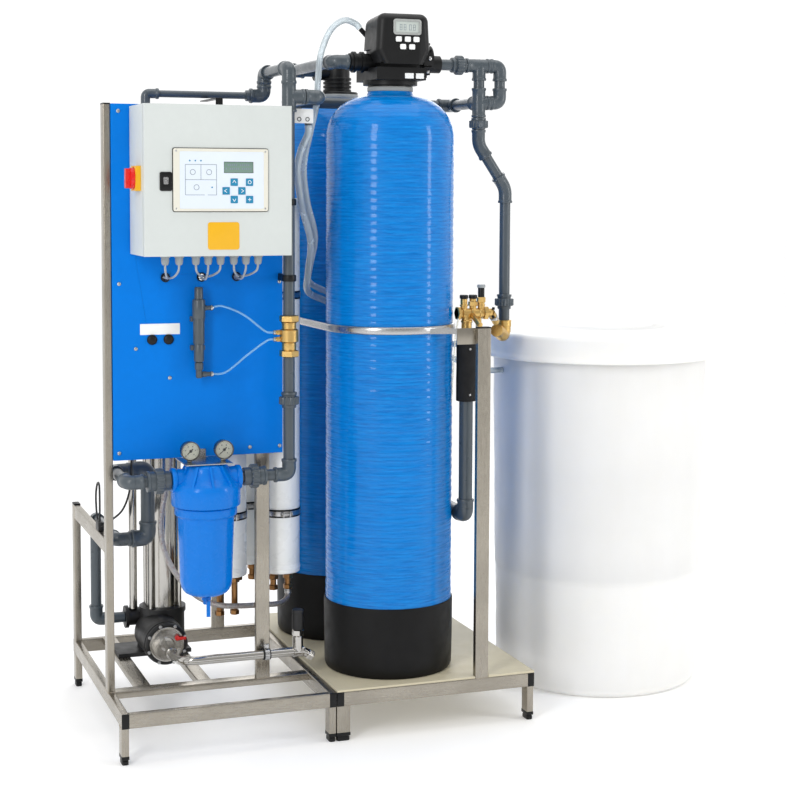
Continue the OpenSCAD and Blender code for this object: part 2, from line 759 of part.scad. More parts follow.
module flow_cell() {
    c = [254, 172];
    color("#54585b") origin() {
        rod([c.x, c.y, 1016], [c.x, c.y, 1060], 9);
        rod([c.x, c.y, 1060.05], [c.x, c.y, 1110], 14);
        rod([c.x, c.y, 1110.05], [c.x, c.y, 1180], 16);
        rod([c.x, c.y, 1180.05], [c.x, c.y, 1232], 18);
        rod([c.x, c.y, 1232.05], [c.x, c.y, 1266], 12);
        for (z = [1024, 1208]) {
            rod([c.x + 18.1, c.y, z], [c.x + 40, c.y, z], 6);
            rod([c.x + 10, c.y, z], [c.x + 18.05, c.y, z], 8);
        }
        for (z = [1090, 1170]) block([c.x - 20, c.y + 19, z], [c.x + 20, panel_y - 0.05, z + 14]);
    }
}

// ---------- hoses ----------
module clear_hoses() {
    color("#cfd8dc") origin() {
        hose([[295.2, 172, 1208], [320, 168, 1212], [370, 130, 1190], [425, 116, 1146],
            [446, 115, 1140], [466, 115, 1140]], 3, 8, 4);
        hose([[295.2, 172, 1024], [330, 166, 1029], [385, 135, 1080], [430, 116, 1116],
            [446, 115, 1121], [466, 115, 1121]], 3, 8, 4);
        hose([[756.2, 279, 1998.8], [742, 279, 2012], [704, 266, 2018], [660, 252, 1988], [630, 248, 1920],
            [622, 250, 1850], [618, 250, 1780], [598, 245, 1700], [578, 245, 1600],
            [590, 250, 1500], [624, 285, 1400], [632, 360, 1310], [650, 425, 1260],
            [720, 441, 1225], [820, 441, 1190], [930, 441, 1140], [1010, 441, 1080],
            [1090, 430, 1030], [1160, 410, 995], [1215, 400, 980], [1255, 400, 979],
            [1290, 400, 979], [1712, 400, 979]], 9, 10, 3);
        hose([[562, 150, 1709.5], [562, 151, 1690], [552, 190, 1640], [550, 215, 1580],
            [570, 230, 1480], [604, 262, 1385], [620, 340, 1290], [640, 410, 1235],
            [700, 458, 1205], [800, 460, 1170], [900, 455, 1120], [970, 425, 1090],
            [1040, 360, 1070], [1078, 260, 1080], [1084, 190, 1096], [1080, 150, 1112],
            [1074, 131, 1130], [1074, 130, 1148.5]], 10, 10, 3);
    }
}

module braided_hose() {
    color("#8f9394") origin() hose([[196, 262, 828.5], [195, 262, 800], [190, 264, 750], [182, 268, 700],
        [170, 270, 635], [165, 270, 577], [175, 270, 515], [205, 270, 450], [255, 270, 388],
        [300, 270, 358], [345, 270, 343], [400, 270, 338], [460, 272, 336], [505, 276, 334],
        [531, 288, 338], [545, 299, 350], [546, 300, 369]], 8, 12, 3);
}

// ---------- pump ----------
module pump_base() {
    px = pump.x;
    py = pump.y;
    color("#1a1b1d") origin() difference() {
        union() {
            block([92, py - 64, 140.2], [312, py + 64, 152]);
            translate([px, py, 151]) cylinder(r = 76, h = 12);
            translate([px, py, 150]) cylinder(r = 66, h = 110);
            translate([px, py, 260]) cylinder(r = 70, h = 16);
            rod([216, 451, 198], [216, py, 198], 64);
            rod([132, 650, 235], [px, 650, 235], 27);
            rod([132, 650, 235], [142, 650, 235], 34);
        }
        translate([px, py, 170]) cylinder(r = 50, h = 120);
        rod([216, 440, 198], [216, py, 198], 50);
        rod([131, 650, 235], [px, 650, 235], 14);
    }
}

module pump_sleeve() {
    color("#c6c4bd") origin() {
        tube([pump.x, pump.y, 276.05], [pump.x, pump.y, 1000], 52, 2);
        for (a = [45:90:359]) translate([pump.x, pump.y, 276.05]) rotate(a)
            translate([61, 0, 0]) cylinder(r = 6, h = 723.9);
        tube([157, 640, 262.5], [157, 640, 1000], 12.5, 1.5);
    }
}

module pump_motor() {
    x = pump.x;
    y = pump.y;
    color("#2f3336") origin() {
        difference() {
            union() {
                translate([x, y, 1000.05]) cylinder(r = 70, h = 60);
                translate([x, y, 1060]) cylinder(r = 48, h = 60);
            }
            translate([x, y, 990]) cylinder(r = 12.3, h = 140);
        }
        difference() {
            union() {
                translate([x, y, 1120.05]) cylinder(r = 72, h = 210);
                for (a = [0:15:359]) translate([x, y, 1135]) rotate(a)
                    translate([70, -1.5, 0]) cube([9, 3, 180]);
                block([x + 60, y - 40, 1180], [x + 110, y + 40, 1270]);
            }
            translate([x, y, 1140]) cylinder(r = 62, h = 200);
            translate([x, y, 1110]) cylinder(r = 12.3, h = 60);
        }
        difference() {
            translate([x, y, 1330.05]) cylinder(r = 72, h = 62);
            translate([x, y, 1320]) cylinder(r = 69, h = 69);
            for (a = [0:30:359], r = [24, 42, 58]) translate([x, y, 1380]) rotate(a)
                translate([r, 0, 0]) cylinder(r = 4.5, h = 20, $fn = 16);
        }
    }
}

module pump_rotor() {
    x = pump.x;
    y = pump.y;
    color("#b9bcbd") origin() {
        translate([x, y, 190]) cylinder(r = 12, h = 1188);
        for (i = [0:11]) translate([x, y, 300 + 56 * i]) cylinder(r1 = 44, r2 = 38, h = 22);
        translate([x, y, 1150]) cylinder(r = 44, h = 150);
        for (a = [0:60:359]) translate([x, y, 1345]) rotate(a)
            translate([11, -1.5, 0]) cube([48, 3, 26]);
    }
}

module discharge_pipe() {
    color("#d0cec8") origin() {
        rod([216, 433, 198], [216, 442.95, 198], 57);
        rod([216, 443, 198], [216, 450.95, 198], 62);
        hose([[228, 434, 172], [228, 420, 172], [225, 380, 174], [219, 290, 190],
            [214, 225, 206], [222, 194, 214], [250, 181, 216], [300, 180, 216],
            [420, 180, 216], [528, 180, 216]], 12.5, 16, 4);
        rod([527, 180, 216], [556, 180, 216], 16);
        rod([541, 180, 216], [541, 180, 262], 15);
        hex_nut([541, 180, 262], [541, 180, 280], 30);
        rod([556, 180, 216], [574, 180, 205], 12);
        hex_nut([570, 180, 207], [586, 180, 198], 26);
        rod([541, 180, 280.05], [541, 180, 338], 17);
        difference() {
            block([438, 164, 188], [458, 205.95, 246]);
            rod([430, 180, 216], [466, 180, 216], 13.5);
        }
        for (z = [194, 240]) hex_nut([448, 156, z], [448, 163.95, z], 12);
    }
}

// ---------- membranes ----------
module membrane_vessels() {
    color("#eceded") origin() for (p = vessels()) {
        tube([p.x, p.y, 452], [p.x, p.y, 1484], vessel_r, 5);
        for (z = [426, 1484.05]) difference() {
            translate([p.x, p.y, z]) cylinder(r = vessel_r + 0.5, h = 25.95);
            translate([p.x, p.y, z + (z < 1000 ? 8 : -1)]) cylinder(r = vessel_r - 6, h = 18.95);
        }
    }
}

module membrane_elements() {
    color("#2f6f8f") origin() for (p = vessels())
        tube([p.x, p.y, 456], [p.x, p.y, 1480], 49.5, 37);
}

module band(c, r, z, h, t) {
    difference() {
        union() {
            translate([c.x, c.y, z]) cylinder(r = r + t, h = h);
            block([c.x - 12, c.y - r - 14, z], [c.x - 8, c.y - r + 2, z + h]);
            block([c.x + 8, c.y - r - 14, z], [c.x + 12, c.y - r + 2, z + h]);
            rod([c.x - 16, c.y - r - 9, z + h / 2], [c.x + 16, c.y - r - 9, z + h / 2], 3.4);
        }
        translate([c.x, c.y, z - 1]) cylinder(r = r + 0.1, h = h + 2);
    }
}

module clamp_bands() {
    v = vessels();
    belt_z = 1130;
    color("#a9a9a4") origin() {
        for (p = v, z = [590, 1220]) band(p, vessel_r, z, 26, 2);
        difference() {
            translate([0, 0, belt_z]) linear_extrude(22) hull() {
                translate(tank_a) circle(tank_r + 7, $fn = 120);
                translate(tank_b) circle(tank_r + 7, $fn = 120);
            }
            translate([0, 0, belt_z - 1]) linear_extrude(24) hull() {
                translate(tank_a) circle(tank_r + 0.4, $fn = 120);
                translate(tank_b) circle(tank_r + 0.4, $fn = 120);
            }
        }
        translate([0, 0, belt_z]) linear_extrude(16)
            polygon([[880, 40.9], [960.9, 22], [960.9, 25], [880, 43.9]]);
    }
}

// ---------- softener ----------
module resin_tank(c) {
    color("#0d62bd") origin() translate([c.x, c.y, 0]) difference() {
        rotate_extrude($fn = 128) polygon(concat([[0, 172], [90, 176], [140, 190], [168, 215],
            [tank_r - 3, 250], [tank_r, 290], [tank_r, tank_top - 130]], dome(tank_r, 0),
            [[63, tank_top], [0, tank_top]]));
        rotate_extrude($fn = 128) polygon(concat([[0, 178], [88, 182], [136, 196], [162, 219],
            [tank_r - 9, 252], [tank_r - 6, 290], [tank_r - 6, tank_top - 130]],
            dome(tank_r - 6, -6), [[50, tank_top - 16], [50, tank_top + 1], [0, tank_top + 1]]));
    }
}

// the wound dome between the tank's side and its neck
function dome(r, dz) = [for (a = [10:10:70]) [63 + (r - 63) * cos(a),
    tank_top - 130 + (118 + dz) * sin(a)]];

module resin_tank_front() { resin_tank(tank_a); }
module resin_tank_rear() { resin_tank(tank_b); }

module tank_bases() {
    color("#141517") origin() for (c = [tank_a, tank_b]) translate([c.x, c.y, 0])
        rotate_extrude($fn = 128) polygon([[150, deck], [tank_r - 4, deck], [tank_r + 2, deck + 12],
            [tank_r + 4, 340], [tank_r + 3.2, 350], [tank_r + 0.2, 350], [tank_r + 0.2, 290],
            [tank_r - 2.8, 250], [168.5, 214.5], [140.5, 189.5], [130, 186.5], [130, deck + 6],
            [150, deck + 6]]);
}

module riser_tubes() {
    color("#d7d7d0") origin() for (c = [tank_a, tank_b]) {
        tube([c.x, c.y, 262], [c.x, c.y, tank_top + 6], 13.3, 2.5);
        tube([c.x, c.y, 190], [c.x, c.y, 261.95], 38, 3);
    }
}

module valve_body() {
    x = tank_a.x;
    y = tank_a.y;
    color("#17191b") origin() difference() {
        union() {
            rod([x, y, tank_top + 0.1], [x, y, tank_top + 18], 64);
            rod([x, y, tank_top + 18], [x, y, tank_top + 32], 78);
            block([x - 72, y - 90, tank_top + 30], [x + 76, y + 90, 1880]);
            rod([x - 50, y + 30, 1900], [x + 60, y + 30, 1900], 46);
            block([x - 50, y - 60, 1875], [x + 60, y + 66, 1990]);
            rod([x - 125, y, valve_z], [x + 150, y, valve_z], 25);
            for (s = [-1, 1]) for (d = [84, 108])
                rod([x + s * d, y, valve_z], [x + s * (d + 8), y, valve_z], 30);
            rod([x + 88, y, 1910], [x + 112, y, 1910], 46);
            rod([x + 108, y, 1910], [x + 120, y, 1910], 40);
            for (a = [-60:30:240]) along([x + 88, y, 1910], [x + 112, y, 1910])
                rotate(a) translate([44, -2, 0]) cube([8, 4, 24]);
            rod([x - 72, 279, 1997], [x - 45, 279, 1970], 7);
        }
        rod([x, y, tank_top - 1], [x, y, tank_top + 20], 14);
        rod([x - 131, y, valve_z], [x - 108, y, valve_z], pipe_r + gap);
        rod([x + 128, y, valve_z], [x + 151, y, valve_z], pipe_r + gap);
        block([x - 42, y - 61, 1930], [x + 52, y + 50, 1982]);
    }
}

// rounded helmet cover over the valve's drive
module valve_cover() {
    x = tank_a.x + 5;
    y0 = valve_front;
    color("#2c2f33") origin() difference() {
        hull() {
            for (s = [-1, 1]) {
                translate([x + s * 52, y0 + 26, 2006]) sphere(24, $fn = 32);
                translate([x + s * 48, y0 + 130, 2000]) sphere(24, $fn = 32);
                translate([x + s * 56, y0 + 130, 1906]) cylinder(r = 22, h = 10, $fn = 32);
                translate([x + s * 40, y0 + 22, 1888]) cylinder(r = 20, h = 10, $fn = 32);
                translate([x + s * 60, y0 + 24, 1930]) sphere(20, $fn = 32);
            }
        }
        hull() {
            for (s = [-1, 1]) {
                translate([x + s * 62, y0 + 14, 1880]) cube([2, 2, 130]);
                translate([x + s * 62, y0 + 180, 1880]) cube([2, 2, 130]);
            }
        }
        block([x - 100, y0 + 72, 1870], [x + 100, y0 + 200, 1932]);
        plate_xz(x - 32, x + 46, 1972, 2010, y0 - 6, 11, 6);
        for (i = [0:4]) block([vkey_x[i] - 9.5, y0 - 6, vkey_z[i] - 8],
            [vkey_x[i] + 9.5, y0 + 15, vkey_z[i] + 8]);
    }
}

module valve_key(i) {
    color("#f1f2f0") origin() plate_xz(vkey_x[i] - 8.6, vkey_x[i] + 8.6, vkey_z[i] - 7.2,
        vkey_z[i] + 7.2, valve_front, 12, 3);
}

module valve_key_1() { valve_key(0); }
module valve_key_2() { valve_key(1); }
module valve_key_3() { valve_key(2); }
module valve_key_4() { valve_key(3); }
module valve_key_5() { valve_key(4); }

module twin_adapter() {
    x = tank_b.x;
    y = tank_b.y;
    color("#17191b") origin() difference() {
        union() {
            rod([x, y, tank_top + 0.1], [x, y, tank_top + 20], 64);
            for (i = [0:3]) rod([x, y, tank_top + 20 + 12 * i], [x, y, tank_top + 28 + 12 * i], 44);
            rod([x, y, tank_top + 20], [x, y, 1925], 39);
            rod([x - 75, y, valve_z], [x, y, valve_z], 25);
        }
        rod([x, y, tank_top - 1], [x, y, tank_top + 20], 14);
        rod([x - 76, y, valve_z], [x - 54, y, valve_z], pipe_r + gap);
    }
}

module softener_pipework() {
    ya = tank_a.y;
    left = [660, ya, valve_z];
    left_back = [660, tank_b.y, valve_z];
    right_tee = [1106, ya, valve_z];
    right_end = [1172, ya, valve_z];
    loop_low = [1172, ya, main_z];
    low_tee = [1106, ya, main_z];
    main_right = [1106, 441, main_z];
    main_left = [585, 441, main_z];
    feed_right = [585, feed.y, main_z];
    diag_top = [1106, ya, 1668];
    diag_low = [1193, ya, 1540];
    drain_top = [1035, 130, 1106];
    drain_low = [1035, 130, 590];
    dd = unit(diag_low - diag_top);
    color("#3d4145") origin() {
        fitting(left, [X, Y], pipe_r);
        tube([left.x + seat(pipe_r) + gap, ya, valve_z], [721, ya, valve_z], pipe_r);
        run(left, left_back, pipe_r);
        fitting(left_back, [X, -Y], pipe_r);
        stub(left_back, [757, tank_b.y, valve_z], pipe_r);
        tube([959, ya, valve_z], [1106 - seat(pipe_r) - gap, ya, valve_z], pipe_r);
        pipe_union([1040, ya, valve_z], X, pipe_r);
        fitting(right_tee, [-X, X, -Z], pipe_r);
        run(right_tee, right_end, pipe_r);
        fitting(right_end, [-X, -Z], pipe_r);
        run(right_end, loop_low, pipe_r);
        fitting(loop_low, [Z, -X], pipe_r);
        run(loop_low, low_tee, pipe_r);
        fitting(low_tee, [X, Z, -Z, Y], pipe_r);
        run(right_tee, low_tee, pipe_r);
        run(low_tee, main_right, pipe_r);
        fitting(main_right, [-Y, -X], pipe_r);
        run(main_right, main_left, pipe_r);
        fitting(main_left, [X, -Y], pipe_r);
        run(main_left, feed_right, pipe_r);
        fitting(feed_right, [Y, -X], pipe_r);
        run(feed_right, [feed.x, feed.y, main_z], pipe_r);
        run(low_tee, diag_top, pipe_r);
        pipe_union([1106, ya, 1729], -Z, pipe_r, 17);
        fitting(diag_top, [Z, dd], pipe_r);
        run(diag_top, diag_low, pipe_r);
        fitting(diag_low, [-dd, -Z], pipe_r);
        stub(diag_low, [1193, ya, 1130], pipe_r);
        pipe_union([1193, ya, 1205], -Z, pipe_r);
        tube([1035, 130, 590 + seat(big_r) + gap], [1035, 130, 1111], big_r);
        tube([1035, 130, 925], [1035, 130, 1095], big_r + 9, 8.9);
        fitting(drain_low, [Z, Y], big_r);
        stub(drain_low, [1035, 450, 590], big_r);
        difference() {
            block([515, 134, 1719], [571, 140, 1757]);
            for (x = [531, 555]) rod([x, 133, 1729], [x, 141, 1729], 4);
        }
        rod([562, 150, 1713.05], [562, 150, 1745], 10);
        rod([562, 140.05, 1735], [562, 150, 1735], 9);
    }
}

// ---------- brine tank ----------
module brine_tank() {
    r0 = brine_r;
    r1 = brine_r + 18;
    color("#e9e9e4") origin() translate([brine.x, brine.y, 0]) difference() {
        rotate_extrude($fn = 128) polygon([[0, 0], [r0 - 26, 0], [r0 - 12, 5], [r0 - 3, 16],
            [r0, 30], [r0 + 6, 350], [r0 + 8, 358], [r1, brine_h - 30], [r1 + 8, brine_h - 26],
            [r1 + 8, brine_h - 12], [r1, brine_h - 8], [r1, brine_h], [0, brine_h]]);
        rotate_extrude($fn = 128) polygon([[0, 6], [r0 - 28, 6], [r0 - 16, 11], [r0 - 8, 20],
            [r0 - 6, 32], [r0 + 1, 350], [r0 + 2, 358], [r1 - 6, brine_h - 30],
            [r1 - 6, brine_h + 1], [0, brine_h + 1]]);
        rod([-r1 - 20, 0, 979], [-r1 + 30, 0, 979], 10.5);
    }
}

module brine_lid() {
    r1 = lip_r;
    z0 = brine_h - 68;
    color("#eeeeea") origin() translate([brine.x, brine.y, 0]) difference() {
        rotate_extrude($fn = 128) polygon([[0, z0], [r1, z0], [r1, z0 + 12], [r1 - 5, z0 + 18],
            [r1 - 5, z0 + 66], [r1 - 9, z0 + 74], [r1 - 20, z0 + 79], [r1 - 150, z0 + 88],
            [r1 - 164, z0 + 95], [0, z0 + 98]]);
        rotate_extrude($fn = 128) polygon([[0, z0 - 1], [r1 - 11, z0 - 1], [r1 - 11, z0 + 68.05],
            [r1 - 46, z0 + 68.05], [r1 - 50, z0 + 76], [r1 - 150, z0 + 83], [r1 - 166, z0 + 90],
            [0, z0 + 93]]);
    }
}

module brine_well() {
    p = [brine.x + 120, brine.y];
    color("#d4d6d3") origin() {
        difference() {
            tube([p.x, p.y, 6.05], [p.x, p.y, 1040], 52, 3);
            rod([p.x - 60, p.y, 979], [p.x - 40, p.y, 979], 11);
        }
        tube([p.x, p.y, 20], [p.x, p.y, 955], 10, 2);
        tube([p.x + 30, p.y, 20], [p.x + 30, p.y, 955], 3, 1);
        tube([p.x + 30, p.y, 410], [p.x + 30, p.y, 419.9], 8, 4.95);
        block([p.x - 12, p.y - 10, 1001], [p.x + 45, p.y + 10, 1005]);
        difference() {
            rod([p.x, p.y, 955.05], [p.x, p.y, 1001], 16);
            rod([p.x - 17, p.y, 979], [p.x - 7, p.y, 979], 9.05);
        }
    }
}

module brine_float() {
    p = [brine.x + 120, brine.y];
    color("#c85a1e") origin() difference() {
        rod([p.x + 30, p.y, 420], [p.x + 30, p.y, 480], 15);
        rod([p.x + 30, p.y, 410], [p.x + 30, p.y, 490], 3.4);
    }
}

ro_base_frame();
ro_uprights();
softener_frame();
end_caps();
base_board();
back_panel();
fasteners();
enclosure_body();
enclosure_door();
door_lock();
controller_panel();
controller_key_1();
controller_key_2();
controller_key_3();
controller_key_4();
controller_key_5();
controller_key_6();
isolator_plate();
isolator_knob();
switchgear();
cable_glands();
control_cables();
filter_head();
filter_bowl();
filter_cartridge();
drain_lever();
steel_brackets();
pressure_gauges();
gauge_needle_left();
gauge_needle_right();
ro_pipework();
brass_fittings();
flow_cell();
clear_hoses();
pump_base();
pump_sleeve();
pump_motor();
pump_rotor();
discharge_pipe();
braided_hose();
membrane_vessels();
membrane_elements();
clamp_bands();
resin_tank_front();
resin_tank_rear();
tank_bases();
riser_tubes();
valve_body();
valve_cover();
valve_key_1();
valve_key_2();
valve_key_3();
valve_key_4();
valve_key_5();
twin_adapter();
softener_pipework();
brine_tank();
brine_lid();
brine_well();
brine_float();
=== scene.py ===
import math
import random
import bmesh
import bpy
from mathutils import Matrix, Vector


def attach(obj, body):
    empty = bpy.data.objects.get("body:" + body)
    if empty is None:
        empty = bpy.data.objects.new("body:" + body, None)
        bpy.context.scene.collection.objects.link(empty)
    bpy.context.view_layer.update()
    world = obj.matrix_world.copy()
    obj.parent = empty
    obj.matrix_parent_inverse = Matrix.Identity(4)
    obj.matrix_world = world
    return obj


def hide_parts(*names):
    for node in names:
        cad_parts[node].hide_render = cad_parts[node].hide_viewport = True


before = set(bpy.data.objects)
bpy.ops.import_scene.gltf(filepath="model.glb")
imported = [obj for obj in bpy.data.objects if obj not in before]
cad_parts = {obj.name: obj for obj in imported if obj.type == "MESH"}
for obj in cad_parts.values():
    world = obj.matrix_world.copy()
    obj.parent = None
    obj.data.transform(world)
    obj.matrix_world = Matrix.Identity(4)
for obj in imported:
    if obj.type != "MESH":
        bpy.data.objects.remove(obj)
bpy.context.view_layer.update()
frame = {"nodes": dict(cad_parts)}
nodes = frame["nodes"]
random.seed(7)
OX, OY = 984.0, 437.2
MM = 0.001


def V(x, y, z):
    """A point of the machine's own millimetre frame, in the row frame in metres."""
    return Vector(((x - OX) * MM, (y - OY) * MM, z * MM))


# ------------------------------------------------------------------ camera
def make_camera():
    az, pitch, roll = math.radians(19.91), math.radians(4.3925), math.radians(0.249)
    fwd = Vector((math.sin(az) * math.cos(pitch), math.cos(az) * math.cos(pitch), -math.sin(pitch)))
    right = Vector((math.cos(az), -math.sin(az), 0))
    up = right.cross(fwd)
    r2 = right * math.cos(roll) + up * math.sin(roll)
    u2 = up * math.cos(roll) - right * math.sin(roll)
    data = bpy.data.cameras.new("camera")
    data.lens, data.sensor_width, data.shift_y = 76.59, 36, -0.1
    data.clip_start, data.clip_end = 0.1, 60
    cam = bpy.data.objects.new("camera", data)
    m = Matrix((r2, u2, -fwd)).transposed().to_4x4()
    m.translation = V(-808.8, -4339.0, 1545.2)
    cam.matrix_world = m
    bpy.context.scene.collection.objects.link(cam)
    bpy.context.scene.camera = cam


make_camera()


# ------------------------------------------------------------------ materials
def lin(c):
    return tuple((v / 12.92 if v <= 0.04045 else ((v + 0.055) / 1.055) ** 2.4) for v in c) + (1.0,)


class Shader:
    """A procedural material: a Principled shader with the nodes that feed it."""

    def __init__(self, name):
        self.mat = bpy.data.materials.new(name)
        self.mat.use_nodes = True
        self.tree = self.mat.node_tree
        self.bsdf = self.tree.nodes["Principled BSDF"]
        self.coord = self.node("ShaderNodeTexCoord")

    def node(self, kind, **kw):
        n = self.tree.nodes.new(kind)
        for k, v in kw.items():
            if k in n.inputs:
                n.inputs[k].default_value = v
            else:
                setattr(n, k, v)
        return n

    def link(self, a, b):
        self.tree.links.new(a, b)

    def vec(self, scale=(1, 1, 1), source="Object", rot=(0, 0, 0)):
        m = self.node("ShaderNodeMapping")
        m.inputs["Scale"].default_value = scale
        m.inputs["Rotation"].default_value = rot
        self.link(self.coord.outputs[source], m.inputs["Vector"])
        return m.outputs["Vector"]

    def noise(self, scale, detail=3, rough=0.55, vec=None, dist=0.0):
        n = self.node("ShaderNodeTexNoise", Scale=scale, Detail=detail, Roughness=rough, Distortion=dist)
        self.link(vec if vec is not None else self.coord.outputs["Object"], n.inputs["Vector"])
        return n.outputs["Fac"]

    def ramp(self, fac, stops):
        n = self.node("ShaderNodeValToRGB")
        e = n.color_ramp.elements
        while len(e) < len(stops):
            e.new(0.5)
        for k, (p, c) in zip(e, stops):
            k.position, k.color = p, c
        self.link(fac, n.inputs["Fac"])
        return n.outputs["Color"]

    def span(self, fac, lo, hi, a=0.3, b=0.7):
        n = self.node("ShaderNodeMapRange")
        for k, v in (("From Min", a), ("From Max", b), ("To Min", lo), ("To Max", hi)):
            n.inputs[k].default_value = v
        self.link(fac, n.inputs["Value"])
        return n.outputs["Result"]

    def mix(self, fac, a, b, blend="MIX"):
        n = self.node("ShaderNodeMix", data_type="RGBA", blend_type=blend)
        ins = [i for i in n.inputs if i.enabled]
        for sock, v in zip(ins, (fac, a, b)):
            if hasattr(v, "is_output"):
                self.link(v, sock)
            else:
                sock.default_value = v
        return [o for o in n.outputs if o.enabled][0]

    def math(self, op, a, b=None, clamp=False):
        n = self.node("ShaderNodeMath", operation=op, use_clamp=clamp)
        for sock, v in zip(n.inputs, (a, b)):
            if v is None:
                continue
            if hasattr(v, "is_output"):
                self.link(v, sock)
            else:
                sock.default_value = v
        return n.outputs[0]

    def bump(self, height, strength=0.2, dist=0.001, chain=None):
        n = self.node("ShaderNodeBump", Strength=strength, Distance=dist)
        self.link(height, n.inputs["Height"])
        if chain is not None:
            self.link(chain, n.inputs["Normal"])
        return n.outputs["Normal"]

    def out(self, base=None, rough=None, normal=None, **const):
        if base is not None:
            self.link(base, self.bsdf.inputs["Base Color"])
        if rough is not None:
            self.link(rough, self.bsdf.inputs["Roughness"])
        if normal is not None:
            self.link(normal, self.bsdf.inputs["Normal"])
        for k, v in const.items():
            self.bsdf.inputs[k.replace("_", " ")].default_value = v
        return self.mat


def shade_of(c, k):
    return tuple(min(1.0, v * k) for v in c[:3]) + (1.0,)


def plastic(name, rgb, rough=0.45, var=0.08, grain=700.0, depth=0.06, coat=0.0, **const):
    s = Shader(name)
    c = lin(rgb)
    wide = s.noise(5, 4)
    fine = s.noise(60, 3)
    col = s.ramp(wide, [(0.3, shade_of(c, 1 - var)), (0.7, shade_of(c, 1 + var))])
    col = s.mix(s.span(fine, 0.0, 0.35), col, shade_of(c, 1 - 1.6 * var))
    nor = s.bump(s.noise(grain, 2), depth, 0.0004)
    nor = s.bump(s.noise(14, 2), 0.05, 0.002, nor)
    return s.out(col, s.span(s.noise(28, 4), rough - 0.07, rough + 0.08), nor,
                 Coat_Weight=coat, Coat_Roughness=0.12, **const)


def metal(name, rgb, rough=0.3, stretch=(6, 6, 6), source="Object", var=0.1, depth=0.05,
          aniso=0.0, stain=0.0):
    s = Shader(name)
    c = lin(rgb)
    lines = s.noise(60, 5, 0.7, s.vec(stretch, source))
    cloud = s.noise(7, 3)
    col = s.ramp(lines, [(0.25, shade_of(c, 1 - var)), (0.75, shade_of(c, 1 + var))])
    col = s.mix(s.span(cloud, 0.0, 0.25 + stain, 0.4, 0.75), col, shade_of(c, 0.72))
    rou = s.math("ADD", s.span(lines, rough - 0.08, rough + 0.1), s.span(cloud, -0.03, 0.06))
    nor = s.bump(lines, depth, 0.0005)
    return s.out(col, rou, nor, Metallic=1.0, Anisotropic=aniso)


M = {}
M["stainless"] = metal("stainless", (0.64, 0.615, 0.57), 0.27, (0.05, 2.0, 1), "UV", 0.16, 0.1, 0.4, 0.3)
M["sleeve"] = metal("stainless_tube", (0.72, 0.71, 0.69), 0.13, (40, 40, 0.6), "Object", 0.07, 0.03)
M["zinc"] = metal("zinc_plate", (0.72, 0.72, 0.72), 0.26, (9, 9, 9), "Object", 0.12, 0.08)
M["weld"] = metal("weld_bead", (0.72, 0.68, 0.62), 0.4, (30, 30, 30), "Object", 0.25, 0.5, stain=0.2)
M["brass"] = metal("brass_body", (0.82, 0.68, 0.42), 0.3, (12, 12, 12), "Object", 0.14, 0.12, stain=0.15)
M["bronze"] = metal("bronze_port", (0.60, 0.44, 0.28), 0.34, (12, 12, 12), "Object", 0.16, 0.12, stain=0.2)
M["dark_steel"] = metal("gauge_rim", (0.40, 0.39, 0.37), 0.25, (9, 9, 9), "Object", 0.12, 0.06)
M["pvc"] = plastic("grey_pvc", (0.27, 0.305, 0.33), 0.33, 0.09, 500, 0.05, 0.15)
M["black"] = plastic("black_moulding", (0.055, 0.057, 0.06), 0.42, 0.15, 900, 0.12, 0.0,
                     Specular_IOR_Level=0.3)
M["boot"] = plastic("boot_rubber", (0.04, 0.04, 0.042), 0.48, 0.12, 450, 0.16, 0.0,
                    Specular_IOR_Level=0.22)
M["grey_box"] = plastic("box_paint", (0.79, 0.81, 0.80), 0.42, 0.025, 1300, 0.14)
M["white"] = plastic("white_panel", (0.93, 0.935, 0.93), 0.4, 0.02, 900, 0.05)
M["bezel"] = plastic("bezel_plastic", (0.86, 0.85, 0.80), 0.45, 0.03, 900, 0.08)
M["dial"] = plastic("dial_cream", (0.93, 0.92, 0.86), 0.4, 0.02, 900, 0.03)
M["membrane"] = plastic("keypad_film", (0.85, 0.885, 0.93), 0.35, 0.02, 900, 0.05)
M["blue_panel"] = plastic("panel_paint", (0.0, 0.46, 0.84), 0.4, 0.05, 1500, 0.12, 0.0,
                          Specular_IOR_Level=0.1)
M["filter_blue"] = plastic("filter_shell", (0.0, 0.45, 0.82), 0.26, 0.05, 350, 0.04, 0.15,
                           Specular_IOR_Level=0.16)
M["yellow"] = plastic("yellow_plate", (0.90, 0.68, 0.04), 0.4, 0.04, 900, 0.05)
M["red"] = plastic("red_knob", (0.85, 0.10, 0.08), 0.3, 0.06, 700, 0.05, 0.2)
M["teal"] = plastic("teal_key", (0.06, 0.50, 0.66), 0.45, 0.06, 900, 0.06)
M["gland"] = plastic("gland_grey", (0.60, 0.62, 0.63), 0.4, 0.08, 700, 0.06)
M["device"] = plastic("device_grey", (0.62, 0.63, 0.62), 0.45, 0.12, 500, 0.1)
M["cable"] = plastic("cable_sheath", (0.66, 0.68, 0.69), 0.45, 0.1, 400, 0.1)
M["dark_cable"] = plastic("dark_sheath", (0.07, 0.07, 0.075), 0.45, 0.1, 400, 0.1)
M["media"] = plastic("wound_media", (0.93, 0.92, 0.87), 0.8, 0.05, 180, 0.5)
M["vessel"] = plastic("vessel_white", (0.96, 0.965, 0.955), 0.3, 0.03, 500, 0.04, 0.3)
M["film"] = plastic("membrane_film", (0.16, 0.42, 0.55), 0.35, 0.1, 300, 0.1)
M["cast"] = plastic("cast_black", (0.07, 0.07, 0.075), 0.5, 0.2, 260, 0.5)
M["motor"] = plastic("motor_paint", (0.20, 0.22, 0.24), 0.45, 0.1, 350, 0.2)
M["board"] = plastic("board_laminate", (0.80, 0.765, 0.66), 0.5, 0.05, 300, 0.08)
M["needle"] = plastic("needle_black", (0.05, 0.05, 0.05), 0.4, 0.1)
